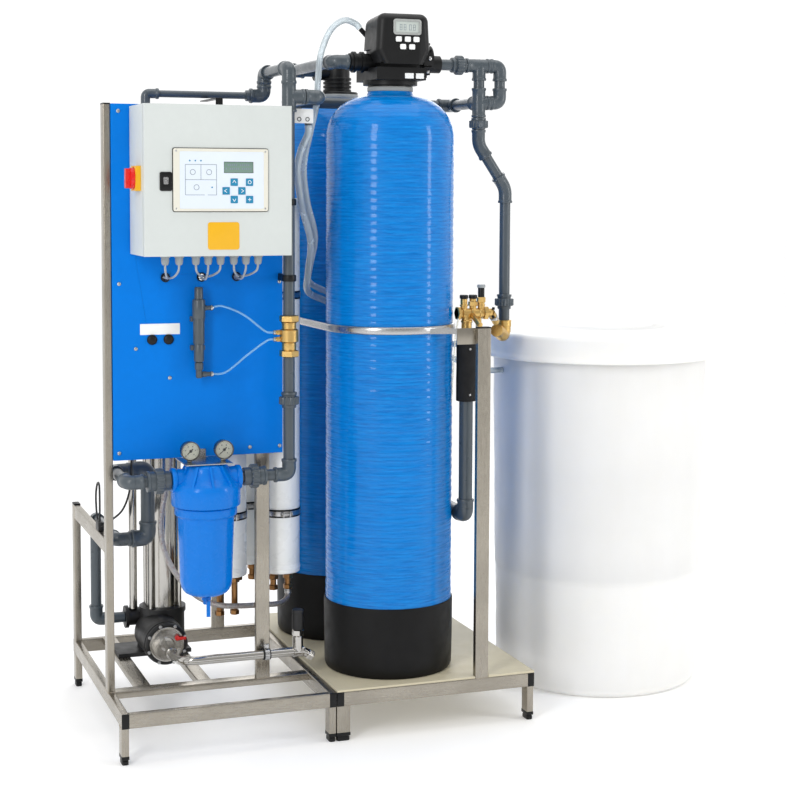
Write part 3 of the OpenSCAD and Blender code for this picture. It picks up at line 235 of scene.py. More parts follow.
M["orange"] = plastic("float_foam", (0.80, 0.42, 0.16), 0.75, 0.08, 200, 0.5)
M["ink"] = plastic("print_grey", (0.45, 0.50, 0.54), 0.6, 0.05)
M["lcd"] = plastic("lcd_green", (0.43, 0.54, 0.49), 0.18, 0.04, 900, 0.02, 0.5)
M["lcd_pale"] = plastic("lcd_pale", (0.74, 0.77, 0.75), 0.16, 0.03, 900, 0.02, 0.5)
M["foam"] = plastic("pipe_foam", (0.06, 0.06, 0.065), 0.85, 0.15, 220, 0.6)


def tank_material():
    """Glass fibre wound in resin: hoop bands, slanted strands and a thick gloss coat."""
    s = Shader("wound_blue")
    hoops = s.node("ShaderNodeTexWave", wave_type="BANDS", bands_direction="Z", Scale=27.0,
                   Distortion=2.4, Detail=3.0)
    hoops.inputs["Detail Scale"].default_value = 1.6
    s.link(s.vec(), hoops.inputs["Vector"])
    strands = s.noise(26, 6, 0.65, s.vec((0.6, 0.6, 9)))
    slant = s.noise(40, 4, 0.6, s.vec((0.5, 0.5, 6), rot=(0.5, 0.0, 0.4)))
    wide = s.noise(3.0, 3)
    base = s.ramp(strands, [(0.25, lin((0.0, 0.37, 0.65))), (0.5, lin((0.0, 0.48, 0.80))),
                            (0.78, lin((0.05, 0.58, 0.88)))])
    base = s.mix(s.span(slant, 0.0, 0.5, 0.45, 0.75), base, lin((0.0, 0.38, 0.72)))
    base = s.mix(s.span(wide, 0.0, 0.35), base, lin((0.0, 0.51, 0.85)))
    base = s.mix(s.span(hoops.outputs["Fac"], 0.0, 0.16, 0.1, 0.9), base, lin((0.0, 0.30, 0.60)))
    nor = s.bump(hoops.outputs["Fac"], 0.30, 0.0016)
    nor = s.bump(strands, 0.5, 0.0014, nor)
    nor = s.bump(slant, 0.25, 0.0012, nor)
    return s.out(base, s.span(strands, 0.2, 0.38), nor, Coat_Weight=0.3, Coat_Roughness=0.07,
                 Specular_IOR_Level=0.1)


def brine_material():
    """Rotomoulded polyethylene: milky, a little uneven, faintly lit from inside."""
    s = Shader("milky_polyethylene")
    c = lin((0.97, 0.965, 0.95))
    wide = s.noise(2.2, 4)
    runs = s.noise(9, 4, 0.6, s.vec((1, 1, 0.25)))
    col = s.ramp(wide, [(0.3, shade_of(c, 0.955)), (0.7, shade_of(c, 1.02))])
    col = s.mix(s.span(runs, 0.0, 0.3), col, lin((0.93, 0.92, 0.89)))
    nor = s.bump(s.noise(120, 3), 0.12, 0.0006)
    nor = s.bump(s.noise(6, 2), 0.25, 0.004, nor)
    return s.out(col, s.span(s.noise(18, 4), 0.36, 0.5), nor, Subsurface_Weight=0.35,
                 Subsurface_Radius=(0.03, 0.028, 0.024), Subsurface_Scale=0.6)


def braid_material():
    """Stainless wire braid with a red tracer, woven along the hose in UV."""
    s = Shader("wire_braid")
    waves = []
    for sign in (1, -1):
        w = s.node("ShaderNodeTexWave", wave_type="BANDS", bands_direction="X", Scale=1.0)
        m = s.node("ShaderNodeMapping")
        m.inputs["Rotation"].default_value = (0, 0, math.radians(38 * sign))
        m.inputs["Scale"].default_value = (9, 9, 1)
        s.link(s.coord.outputs["UV"], m.inputs["Vector"])
        s.link(m.outputs["Vector"], w.inputs["Vector"])
        waves.append(w.outputs["Fac"])
    weave = s.math("MAXIMUM", waves[0], waves[1])
    col = s.ramp(weave, [(0.35, lin((0.24, 0.22, 0.22))), (0.85, lin((0.80, 0.79, 0.78)))])
    tracer = s.noise(5, 2, 0.5, s.vec((9, 1, 1), "UV"))
    col = s.mix(s.span(tracer, 0.0, 0.55, 0.56, 0.6), col, lin((0.52, 0.26, 0.20)))
    nor = s.bump(weave, 0.7, 0.0008)
    return s.out(col, s.span(weave, 0.45, 0.28, 0.2, 0.9), nor, Metallic=0.85)


def clear_material(name, rgb, alpha=0.55):
    s = Shader(name)
    c = lin(rgb)
    n = s.noise(22, 3)
    col = s.ramp(n, [(0.3, shade_of(c, 0.93)), (0.7, shade_of(c, 1.04))])
    return s.out(col, s.span(n, 0.16, 0.3), s.bump(s.noise(200, 2), 0.05, 0.0004),
                 Transmission_Weight=alpha, IOR=1.36, Subsurface_Weight=0.1,
                 Subsurface_Radius=(0.01, 0.01, 0.01))


def floor_material():
    s = Shader("studio_floor")
    n = s.noise(0.8, 2)
    col = s.ramp(n, [(0.3, (0.90, 0.90, 0.90, 1)), (0.7, (0.92, 0.92, 0.92, 1))])
    return s.out(col, s.span(n, 0.5, 0.6), Emission_Color=(1, 1, 1, 1), Emission_Strength=0.16)


M["tank"] = tank_material()
M["brine"] = brine_material()
M["braid"] = braid_material()
M["clear"] = clear_material("clear_hose", (0.84, 0.88, 0.90), 0.45)
M["sample"] = clear_material("sample_tube", (0.55, 0.78, 0.95), 0.4)
M["glass"] = clear_material("gauge_glass", (0.97, 0.98, 0.98), 1.0)

# ------------------------------------------------------------------ mesh tools
scene_col = bpy.context.scene.collection


def finish_mesh(name, bm, mat, body, angle=35):
    me = bpy.data.meshes.new(name)
    bm.normal_update()
    bm.to_mesh(me)
    bm.free()
    for p in me.polygons:
        p.use_smooth = True
    me.set_sharp_from_angle(angle=math.radians(angle))
    me.materials.append(mat)
    ob = bpy.data.objects.new(name, me)
    scene_col.objects.link(ob)
    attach(ob, body)
    return ob


def add_box(bm, a, b, bevel=0.0, seg=2, mat_index=0):
    """A box between two corners in machine millimetres, with rounded edges."""
    a, b = V(*a), V(*b)
    m = Matrix.Translation((a + b) / 2) @ Matrix.Diagonal((*(b - a), 1))
    made = bmesh.ops.create_cube(bm, size=1, matrix=m)
    if bevel:
        verts = made["verts"]
        edges = {e for v in verts for e in v.link_edges}
        bmesh.ops.bevel(bm, geom=list(edges), offset=bevel * MM, segments=seg, affect="EDGES",
                        profile=0.5)


def skin(bm, rings, cap=True, us=None):
    """Faces between neighbouring rings; us gives each ring's distance along the piece for UV."""
    n, uv = len(rings[0]), bm.loops.layers.uv.active
    for i in range(len(rings) - 1):
        for j in range(n):
            k = (j + 1) % n
            f = bm.faces.new((rings[i][j], rings[i][k], rings[i + 1][k], rings[i + 1][j]))
            if us:
                for loop, c in zip(f.loops, ((us[i], j), (us[i], j + 1), (us[i + 1], j + 1),
                                             (us[i + 1], j))):
                    loop[uv].uv = (c[0], c[1] / n)
    if cap:
        bm.faces.new(list(reversed(rings[0])))
        bm.faces.new(rings[-1])


def frames_along(pts):
    """Tangents and turning-free normals along a list of points."""
    tans = []
    for i in range(len(pts)):
        a, b = pts[max(i - 1, 0)], pts[min(i + 1, len(pts) - 1)]
        tans.append((b - a).normalized())
    n = tans[0].cross(Vector((0, 0, 1)) if abs(tans[0].z) < 0.8 else Vector((1, 0, 0))).normalized()
    out = []
    for t in tans:
        n = (n - t * n.dot(t)).normalized()
        out.append((t, n, t.cross(n)))
    return out


def spline(ctrl, k=8):
    p = [V(*c) for c in ctrl]
    out = []
    for i in range(len(p) - 1):
        a, b, c, d = p[max(i - 1, 0)], p[i], p[i + 1], p[min(i + 2, len(p) - 1)]
        for j in range(k):
            t = j / k
            out.append(0.5 * (2 * b + (c - a) * t + (2 * a - 5 * b + 4 * c - d) * t * t
                              + (3 * b - a - 3 * c + d) * t ** 3))
    return out + [p[-1]]


def add_hose(bm, ctrl, r, sides=20, k=8, pts=None, swell=None):
    pts = pts or spline(ctrl, k)
    us = [0.0]
    for a, b in zip(pts, pts[1:]):
        us.append(us[-1] + (b - a).length * 10)
    rings = []
    for i, (p, (t, n, m)) in enumerate(zip(pts, frames_along(pts))):
        q = r * MM * (swell(i) if swell else 1)
        rings.append([bm.verts.new(p + (n * math.cos(2 * math.pi * j / sides)
                                        + m * math.sin(2 * math.pi * j / sides)) * q)
                      for j in range(sides)])
    skin(bm, rings, True, us)


def add_lathe(bm, origin, axis, profile, seg=48, cap=True, flute=None):
    """Turns (radius, height) pairs about an axis; flute is (count, depth, from, to)."""
    o, ax = V(*origin), Vector(axis).normalized()
    n = ax.cross(Vector((0, 0, 1)) if abs(ax.z) < 0.8 else Vector((1, 0, 0))).normalized()
    m = ax.cross(n)
    rings = []
    for r, h in profile:
        ring = []
        for j in range(seg):
            t, q = 2 * math.pi * j / seg, r
            if flute and flute[2] <= h <= flute[3]:
                q += flute[1] * math.cos(flute[0] * t)
            ring.append(bm.verts.new(o + ax * h * MM + (n * math.cos(t) + m * math.sin(t)) * q * MM))
        rings.append(ring)
    skin(bm, rings, cap)


def add_cyl(bm, p, q, r, seg=32, edge=0.5):
    d = Vector(q) - Vector(p)
    h = d.length
    e = min(edge, r * 0.4, h * 0.3)
    add_lathe(bm, p, d, [(r - e, 0), (r - e * 0.3, e * 0.3), (r, e), (r, h - e),
                         (r - e * 0.3, h - e * 0.3), (r - e, h)], seg)


def add_hex(bm, p, q, af, edge=0.8):
    d = Vector(q) - Vector(p)
    h, r = d.length, af / 2 / math.cos(math.radians(30))
    add_lathe(bm, p, d, [(r * 0.86, 0), (r, edge), (r, h - edge), (r * 0.86, h)], 6)


def rounded_rect(w, h, r, seg=4):
    """Corner points of a rounded rectangle centred on the origin."""
    out = []
    for cx, cy, a0 in ((w / 2 - r, h / 2 - r, 0), (-w / 2 + r, h / 2 - r, 90),
                       (-w / 2 + r, -h / 2 + r, 180), (w / 2 - r, -h / 2 + r, 270)):
        for i in range(seg + 1):
            a = math.radians(a0 + 90 * i / seg)
            out.append((cx + r * math.cos(a), cy + r * math.sin(a)))
    return out


def add_profile_tube(bm, a, b, axis, r=2.6):
    """Rectangular tube with rolled corners between two corners in machine millimetres."""
    i, j = [(1, 2), (2, 0), (0, 1)][axis]
    mid = [(a[k] + b[k]) / 2 for k in range(3)]
    w, h = b[i] - a[i], b[j] - a[j]
    ring_pts = rounded_rect(w, h, r)
    steps = max(1, int((b[axis] - a[axis]) / 60))
    rings, us = [], []
    start = random.random() * 5
    for s in range(steps + 1):
        pos = a[axis] + (b[axis] - a[axis]) * s / steps
        ring = []
        for x, y in ring_pts:
            c = list(mid)
            c[axis], c[i], c[j] = pos, mid[i] + x, mid[j] + y
            ring.append(bm.verts.new(V(*c)))
        rings.append(ring)
        us.append(start + pos * 0.01)
    skin(bm, rings, True, us)


def plate_xz(bm, x0, x1, z0, z1, y, t, r, bevel=0.4):
    """Rounded plate in the XZ plane, front face at y, thickness t towards the back."""
    cx, cz = (x0 + x1) / 2, (z0 + z1) / 2
    rings = []
    for grow, dy in ((-bevel, 0), (-bevel * 0.3, bevel * 0.3), (0, bevel), (0, t)):
        pts = rounded_rect(x1 - x0 + 2 * grow, z1 - z0 + 2 * grow, max(r + grow, 0.3), 5)
        rings.append([bm.verts.new(V(cx + px, y + dy, cz + pz)) for px, pz in pts])
    skin(bm, rings, True)


def part(name, mat, body="base", nodes=(), angle=35):
    """A visible piece built by the decorated function; it may stand for CAD nodes."""
    def build(fill):
        bm = bmesh.new()
        bm.loops.layers.uv.new("UVMap")
        fill(bm)
        ob = finish_mesh(name, bm, M[mat], body, angle)
        if nodes:
            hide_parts(*nodes)
        return ob
    return build


# ------------------------------------------------------------------ frames
def bead(bm, p, q, r=1.5):
    """Weld bead with its ripples, from p to q."""
    n = max(4, int((Vector(q) - Vector(p)).length / 1.6))
    pts = [V(*p).lerp(V(*q), i / n) for i in range(n + 1)]
    add_hose(bm, None, r, 8, pts=pts, swell=lambda i: 0.8 + 0.25 * (i % 2) + 0.1 * random.random())


RO_RAILS = [((x, 4, 100), (x + 20, 796, 140), 1) for x in (0, 580)] \
    + [((20, y, 100), (580, y + 20, 140), 0) for y in (0, 780)] \
    + [((20, 206, 120), (580, 246, 140), 0)] \
    + [((x, 246, 120), (x + 40, 780, 140), 1) for x in (88, 262)] \
    + [((x, y, 24), (x + 20, y + 40, 100), 2) for x in (0, 580) for y in (4, 756)]
RO_POSTS = [((0, 206, 140), (20, 246, 1763), 2), ((425, 206, 140), (465, 226, 1690), 2),
            ((0, 760, 140), (20, 800, 566), 2), ((0, 246, 526), (20, 760, 566), 1),
            ((436, 780, 140), (476, 800, 1300), 2)]
SOFT_RAILS = [((x, 4, 100), (x + 20, 876, 140), 1) for x in (602, 1182)] \
    + [((622, y, 100), (1182, y + 20, 140), 0) for y in (0, 860)] \
    + [((622, y, 120), (1182, y + 40, 140), 0) for y in (202, 640)] \
    + [((602, 4, 24), (642, 24, 100), 2), ((1182, 4, 24), (1202, 44, 100), 2)] \
    + [((x, 836, 24), (x + 20, 876, 100), 2) for x in (602, 1182)] \
    + [((1017, 0, 140), (1057, 20, 1146), 2)]


@part("ro_frame_rails", "stainless", nodes=["ro_base_frame"])
def _(bm):
    for a, b, axis in RO_RAILS:
        add_profile_tube(bm, a, b, axis)


@part("ro_frame_posts", "stainless", nodes=["ro_uprights"])
def _(bm):
    for a, b, axis in RO_POSTS:
        add_profile_tube(bm, a, b, axis)


@part("softener_frame_rails", "stainless", nodes=["softener_frame"])
def _(bm):
    for a, b, axis in SOFT_RAILS:
        add_profile_tube(bm, a, b, axis)
    add_box(bm, (961, 20.2, 1100), (1057, 26, 1146), 1.2)


@part("weld_beads", "weld")
def _(bm):
    for x in (20, 580):
        for y in (20, 780):
            bead(bm, (x, y, 102), (x, y, 138))
    for x in (622, 1182):
        for y in (20, 860):
            bead(bm, (x, y, 102), (x, y, 138))
    for x in (0.5, 19.5):
        bead(bm, (x, 207, 140), (x, 245, 140))
    bead(bm, (1, 206, 140), (19, 206, 140))
    bead(bm, (426, 206, 140), (464, 206, 140))
    bead(bm, (1018, 0.5, 140), (1056, 0.5, 140), 1.2)
    bead(bm, (0.5, 759, 528), (0.5, 759, 564), 1.2)
    for x in (0.5, 579.5, 602.5):
        bead(bm, (x, 5, 100), (x, 43 if x < 600 else 23, 100))
    bead(bm, (603, 4.5, 100), (641, 4.5, 100), 1.2)


@part("end_plugs", "black", nodes=["end_caps"])
def _(bm):
    for x, d in ((0, 796), (580, 796), (602, 876), (1182, 876)):
        for y in (0, d):
            add_box(bm, (x - 0.2, y, 99.8), (x + 20.2, y + 4, 140.2), 1.0)
    for a, b in (((0, 206, 1763), (20, 246, 1767)), ((0, 760, 566), (20, 800, 570)),
                 ((436, 780, 1300), (476, 800, 1304)), ((1017, 0, 1146), (1057, 20, 1150))):
        add_box(bm, a, b, 1.0)
    feet = [(x, y, 20, 40) for x in (0, 580) for y in (4, 756)] \
        + [(602, 4, 40, 20), (1182, 4, 20, 40), (602, 836, 20, 40), (1182, 836, 20, 40)]
    for x, y, w, d in feet:
        add_box(bm, (x - 0.3, y - 0.3, 14), (x + w + 0.3, y + d + 0.3, 24), 1.2)
        cx, cy = x + w / 2, y + d / 2
        pts = rounded_rect(w - 2, d - 2, 6, 4)
        rings = [[bm.verts.new(V(cx + px * k, cy + py * k, z)) for px, py in pts]
                 for k, z in ((0.94, 0), (1.0, 1.5), (1.0, 10), (0.9, 12), (0.9, 14.5))]
        skin(bm, rings)


# ------------------------------------------------------------------ panel and control box
@part("panel_screws", "zinc", nodes=["fasteners"])
def _(bm):
    for x, z in ((40, 1745), (39, 1276), (36, 810), (84, 1097), (178, 1014), (406, 810),
                 (493, 810), (493, 1276)):
        add_lathe(bm, (x, 199.9, z), (0, -1, 0), [(5.6, 0), (5.6, 0.7), (5.0, 1.9), (3.6, 2.8),
                                                 (2.2, 3.1), (2.0, 2.0)], 24)
        add_box(bm, (x - 2.1, 196.6, z - 0.45), (x + 2.1, 197.6, z + 0.45))
    for z in (1440, 1676):
        add_cyl(bm, (468.5, 18.5, z - 24), (468.5, 18.5, z + 24), 1.1, 16)


@part("panel_label", "white")
def _(bm):
    plate_xz(bm, 96, 207, 1135, 1165, 199.2, 0.8, 1.0, 0.2)


@part("two_hole_plate", "white")
def _(bm):
    plate_xz(bm, 514, 572, 1718, 1758, 133.2, 0.8, 4, 0.3)


@part("two_hole_rims", "pvc")
def _(bm):
    for x in (531, 555):
        add_lathe(bm, (x, 133.3, 1729), (0, -1, 0), [(6.2, 0), (6.2, 1.0), (4.2, 1.2), (4.0, -0.05)], 28)


@part("blank_sign", "yellow", "door")
def _(bm):
    plate_xz(bm, 239, 325, 1375, 1448, -0.9, 0.85, 7, 0.25)


@part("lock_escutcheon", "black", "door")
def _(bm):
    outer = rounded_rect(33, 50, 5, 8)
    hole = [math.atan2(pz - 2, px) for px, pz in outer]
    rings = [[bm.verts.new(V(127 + r * math.cos(t), y, 1557 + r * math.sin(t))) for t in hole]
             for r, y in ((10.3, -0.05), (10.3, -2.6), (11.4, -3.2))]
    for grow, y in ((-1.6, -3.2), (0, -2.2), (0, -0.05)):
        rings.append([bm.verts.new(V(127 + px * (1 + grow / 17), y, 1555 + pz * (1 + grow / 25)))
                      for px, pz in outer])
    skin(bm, rings, False)


@part("bezel_gasket", "black", "door")
def _(bm):
    sides = ((261, 169, 6, -0.05), (260.6, 168.6, 6, -1.4), (257.2, 165.2, 5, -1.4), (257, 165, 5, -0.05))
    skin(bm, [[bm.verts.new(V(274.5 + px, y, 1559.5 + pz)) for px, pz in rounded_rect(w, h, r, 6)]
              for w, h, r, y in sides], False)


@part("lcd_glass", "lcd", "door")
def _(bm):
    plate_xz(bm, 283, 362, 1579, 1607, -2.9, 0.8, 1.0, 0.2)


@part("lcd_segments", "ink", "door")
def _(bm):
    for row, z in enumerate((1597, 1587)):
        for i in range(13):
            if (i * 7 + row * 5) % 6:
                x = 287 + i * 5.6
                add_box(bm, (x, -3.0, z), (x + 3.4, -2.88, z + 5))


@part("mimic_lines", "ink", "door")
def _(bm):
    for x0, x1, z in ((178, 262, 1600), (178, 262, 1560), (178, 230, 1520), (238, 262, 1520)):
        add_box(bm, (x0, -4.62, z - 0.6), (x1, -4.35, z + 0.6))
    for x, z0, z1 in ((178, 1520, 1600), (262, 1520, 1600), (220, 1560, 1600)):
        add_box(bm, (x - 0.6, -4.62, z0), (x + 0.6, -4.35, z1))
    for x, z in ((198, 1580), (242, 1580), (208, 1540)):
        add_lathe(bm, (x, -4.35, z), (0, -1, 0), [(7.5, 0), (7.5, 0.3), (6.2, 0.3), (6.2, 0)], 28, False)


@part("status_lamps", "teal", "door")
def _(bm):
    for x, z in ((190, 1610), (205, 1610), (220, 1610), (250, 1540)):
        add_lathe(bm, (x, -4.3, z), (0, -1, 0), [(2.2, 0), (2.2, 0.4), (1.2, 0.8), (0.1, 0.9)], 16)


@part("bezel_screws", "zinc", "door")
def _(bm):
    for x in (153.5, 395.5):
        for z in (1484, 1635):
            add_lathe(bm, (x, -4.95, z), (0, -1, 0), [(2.6, 0), (2.5, 0.7), (1.6, 1.1), (1.3, 0.6)], 20)


CTRL = list(zip((288, 331, 310, 310, 352, 352), (1531, 1531, 1554, 1508, 1554, 1508)))
for k, (kx, kz) in enumerate(CTRL):
    @part(f"key_mark_{k + 1}", "white", f"controller_key_{k + 1}")
    def _(bm, kx=kx, kz=kz, k=k):
        y = -5.85
        if k < 4:
            dx, dz = ((-1, 0), (1, 0), (0, 1), (0, -1))[k]
            tip = (kx + 5 * dx, kz + 5 * dz)
            for s in (1, -1):
                a = V(kx - 2 * dx + 4.5 * s * dz, y, kz - 2 * dz + 4.5 * s * dx)
                b = V(tip[0], y, tip[1])
                add_hose(bm, None, 0.75, 8, pts=[a, a.lerp(b, 0.5), b])
        elif k == 4:
            add_lathe(bm, (kx, -5.55, kz), (0, -1, 0), [(5, 0), (5, 0.5), (3.6, 0.5), (3.6, 0)], 28, False)
        else:
            add_box(bm, (kx - 4.6, -6.05, kz - 0.8), (kx + 4.6, -5.55, kz + 0.8), 0.2)
            add_box(bm, (kx - 0.8, -6.05, kz - 4.6), (kx + 0.8, -5.55, kz + 4.6), 0.2)


GLANDS = (141, 179, 225, 259, 293, 330, 364, 398)


@part("gland_bodies", "gland", nodes=["cable_glands"])
def _(bm):
    for x in GLANDS:
        add_hex(bm, (x, 80, 1351), (x, 80, 1357.9), 24)
        add_lathe(bm, (x, 80, 1351), (0, 0, -1), [(10.3, 0), (10.6, 3), (10.4, 10), (9.4, 15), (7.6, 19),
                                                 (5.4, 20), (3.1, 20.1)], 36, True, (12, 0.35, 2, 15))


@part("grommets", "black")
def _(bm):
    for x in (167, 268, 368):
        add_lathe(bm, (x, 199.9, 1292), (0, -1, 0), [(13, 0), (13.2, 3), (11.5, 6.5), (9.6, 7),
                                                    (9, 6), (9, 0)], 40, False)
    for x in (129, 175):
        add_lathe(bm, (x, 199.9, 1121), (0, -1, 0), [(14, 0), (14.2, 3), (13, 5), (10, 7), (5, 8.4),
                                                    (0.3, 8.8)], 40, False)


def gland_cable(x, gx, dz):
    return [(x, 80, 1356), (x, 80, 1332), (x + (gx - x) * 0.1, 88, 1314),
            (x + (gx - x) * 0.55, 122, 1298 + dz), (gx, 160, 1292 + dz), (gx, 192, 1292 + dz),
            (gx, 206, 1292 + dz)]


@part("control_leads", "cable", nodes=["control_cables"])
def _(bm):
    for x, gx, dz in zip(GLANDS, (164, 171, 263, 268, 273, 363, 368, 373), (0, 0, 3, -4, 3, 3, -4, 3)):
        add_hose(bm, gland_cable(x, gx, dz), 2.95, 14)


@part("side_leads", "dark_cable")
def _(bm):
    add_hose(bm, [(75, 225, 810), (76, 240, 740), (74, 270, 680), (60, 300, 630), (30, 330, 596),
                  (10, 344.9, 579)], 2.9, 14)
    add_hose(bm, [(10, 391.1, 579), (10, 420, 610), (12, 440, 655), (14, 425, 690), (14, 395, 690),
                  (12, 378, 650), (10, 368, 592.1)], 2.9, 14)
    add_box(bm, (2, 345, 566.2), (18, 391, 592), 1.5)


@part("breaker_toggles", "black")
def _(bm):
    for i in range(5):
        for j in range(3):
            x = 127 + 60 * i + 16 * j
            add_box(bm, (x - 3, 86, 1645), (x + 3, 97, 1658), 1.0)


# ------------------------------------------------------------------ filter
FX, FY = 258, 115


@part("filter_top", "filter_blue", nodes=["filter_head"])
def _(bm):
    add_lathe(bm, (FX, FY, 0), (0, 0, 1), [
        (81.2, 725), (81.2, 670), (90, 670), (93.5, 671.5), (95, 675), (95, 716), (94, 724), (91, 730),
        (86, 735), (78, 742), (64, 761), (58, 772), (55.5, 778), (52, 782), (47, 785), (42, 786),
        (14, 786.5), (0.3, 786.6)], 96, False)
    for s in (-1, 1):
        add_lathe(bm, (FX, FY, 742), (s, 0, 0), [
            (31, 20), (31, 82), (33, 84.5), (34, 86), (34, 94), (33, 96.5), (20, 97), (17, 96.5),
            (16.2, 95), (16.2, 78)], 56, False)
    for i in range(10):
        a = math.radians(36 * i + 18)
        u = Vector((math.cos(a), math.sin(a), 0))
        v = Vector((-u.y, u.x, 0)) * 3.2
        c = Vector((FX, FY, 0))
        rings = [[bm.verts.new(V(*(c + u * r + v * side + Vector((0, 0, z)))))
                  for r, z in ((40, 720), (92, 720), (91.5, 732), (86, 742), (66, 768), (58, 783), (40, 785))]
                 for side in (-1, 1)]
        skin(bm, rings)


@part("filter_sump", "filter_blue", "filter_bowl", nodes=["filter_bowl"])
def _(bm):
    side = [(72 + 6 * t, 462 + 178 * t) for t in (0, 0.02, 0.04, 0.3, 0.6, 0.94, 0.96, 1.0)]
    prof = [(0.3, 418), (24, 418.5), (40, 420), (50, 423.5), (58, 428), (64, 435), (68, 442),
            (70.4, 451)] + side + [(79.5, 642), (84.5, 645), (86, 648), (86, 666), (84.5, 668),
                                   (80.6, 668), (80.4, 690)]
    add_lathe(bm, (FX, FY, 0), (0, 0, 1), prof, 144, False, (12, 0.5, 466, 633))
    add_lathe(bm, (FX, FY, 424), (0, 0, -1), [(16, 0), (12, 4), (9.3, 8), (9, 12), (13, 12.5), (13, 19.5),
                                             (12, 20.3), (9, 20.5), (9, 31), (8, 32), (3, 32)], 40)


@part("gauge_cases", "dark_steel", nodes=["pressure_gauges"])
def _(bm):
    for x in (213, 307):
        add_lathe(bm, (x, 127, 822), (0, -1, 0), [
            (0.3, 0), (21, 0), (24, 1), (25, 3), (25, 24.6), (26.2, 25), (26.6, 27), (26.4, 30),
            (25.2, 31), (24.2, 30.6), (23.7, 29), (23.7, 23), (0.3, 23)], 64, False)
        add_cyl(bm, (x, 115, 763), (x, 115, 800), 4.1, 24)
        add_hex(bm, (x, 115, 791), (x, 115, 799), 13)
        add_cyl(bm, (x, 98.6, 822), (x, 105, 822), 1.35, 16, 0.2)


@part("gauge_dials", "dial")
def _(bm):
    for x in (213, 307):
        add_lathe(bm, (x, 104.0, 822), (0, -1, 0), [(23.6, 0), (23.5, 0.35), (1.7, 0.35), (1.7, 0)], 64, False)


@part("gauge_ticks", "needle")
def _(bm):
    for x in (213, 307):
        for i in range(41):
            a = math.radians(225 - 270 * i / 40)
            r0 = 17.2 if i % 8 == 0 else 18.8 if i % 4 == 0 else 19.6
            u = Vector((math.cos(a), 0, math.sin(a)))
            p, q = Vector((x, 103.55, 822)) + u * r0, Vector((x, 103.55, 822)) + u * 21.2
            add_cyl(bm, p, q, 0.42 if i % 8 == 0 else 0.24, 6, 0.05)
        for i in range(6):
            a = math.radians(225 - 270 * i / 5)
            c = (x + 13.6 * math.cos(a), 822 + 13.6 * math.sin(a))
            add_box(bm, (c[0] - 1.1, 103.45, c[1] - 1.6), (c[0] + 1.1, 103.62, c[1] + 1.6), 0.05, 1)


@part("gauge_glasses", "glass")
def _(bm):
    for x in (213, 307):
        add_lathe(bm, (x, 97.9, 822), (0, -1, 0), [(0.2, 0), (23.6, 0), (23.6, 0.7), (0.2, 1.0)], 64, False)


# ------------------------------------------------------------------ pipework
X, Y, Z = Vector((1, 0, 0)), Vector((0, 1, 0)), Vector((0, 0, 1))
R1, R2, R3 = 16, 20, 10


def socket(bm, c, u, r):
    s = r + 5
    add_lathe(bm, c, u, [(r + 3.4, s - 3), (r + 3.5, s + 13), (r + 4.6, s + 14.5), (r + 5.4, s + 15.5),
                         (r + 5.5, s + 20.8), (r + 4.8, s + 22), (r + 1.0, s + 22), (r - 1, s + 21)],
              40, False)


def fitting(bm, c, dirs, r):
    """Elbow or tee: swept bend or crossing barrels, with a rimmed socket at each end."""
    c, body, s = Vector(c), r + 3.4, r + 2.5
    for u in dirs:
        socket(bm, c, u, r)
    if len(dirs) == 2:
        a, b = V(*(c + dirs[0] * s)), V(*(c + dirs[1] * s))
        m = V(*c)
        pts = [a * (1 - t) ** 2 + m * 2 * t * (1 - t) + b * t * t for t in [i / 12 for i in range(13)]]
        add_hose(bm, None, body, 40, pts=pts)
    else:
        for u in dirs:
            add_lathe(bm, c, u, [(body, -0.2), (body, s)], 40)
        bmesh.ops.create_uvsphere(bm, u_segments=32, v_segments=16, radius=(body + 0.3) * MM,
                                  matrix=Matrix.Translation(V(*c)))


def pipe(bm, a, b, r, ends=(1, 1)):
    """Pipe between two fitting centres, or from one to a free end."""
    a, b = Vector(a), Vector(b)
    u = (b - a).normalized()
    p, q = a + u * (r + 5) * ends[0], b - u * (r + 5) * ends[1]
    add_lathe(bm, p, u, [(r - 1.6, 0.0), (r, 0.4), (r, (q - p).length - 0.4), (r - 1.6, (q - p).length)], 40)


def union(bm, c, u, r, half=22, nut=11):
    """Pipe union with two collars and a ribbed nut."""
    h, barrel, rim = half, r + nut - 7, r + nut - 5
    add_lathe(bm, c, u, [(r, -h), (rim - 0.4, -h + 0.6), (rim, -h + 1.6), (rim, -h + 7),
                         (barrel, -h + 8.5), (barrel, -9)], 48, False)
    add_lathe(bm, c, u, [(barrel, -9.2), (r + nut - 1.5, -9), (r + nut, -7.5), (r + nut, 11),
                         (r + nut - 2, 12.8), (barrel, 13)], 144, False, (18, 1.2, -8, 11.5))
    add_lathe(bm, c, u, [(barrel, 12.5), (barrel, h - 2), (barrel - 0.8, h), (r, h)], 48, False)


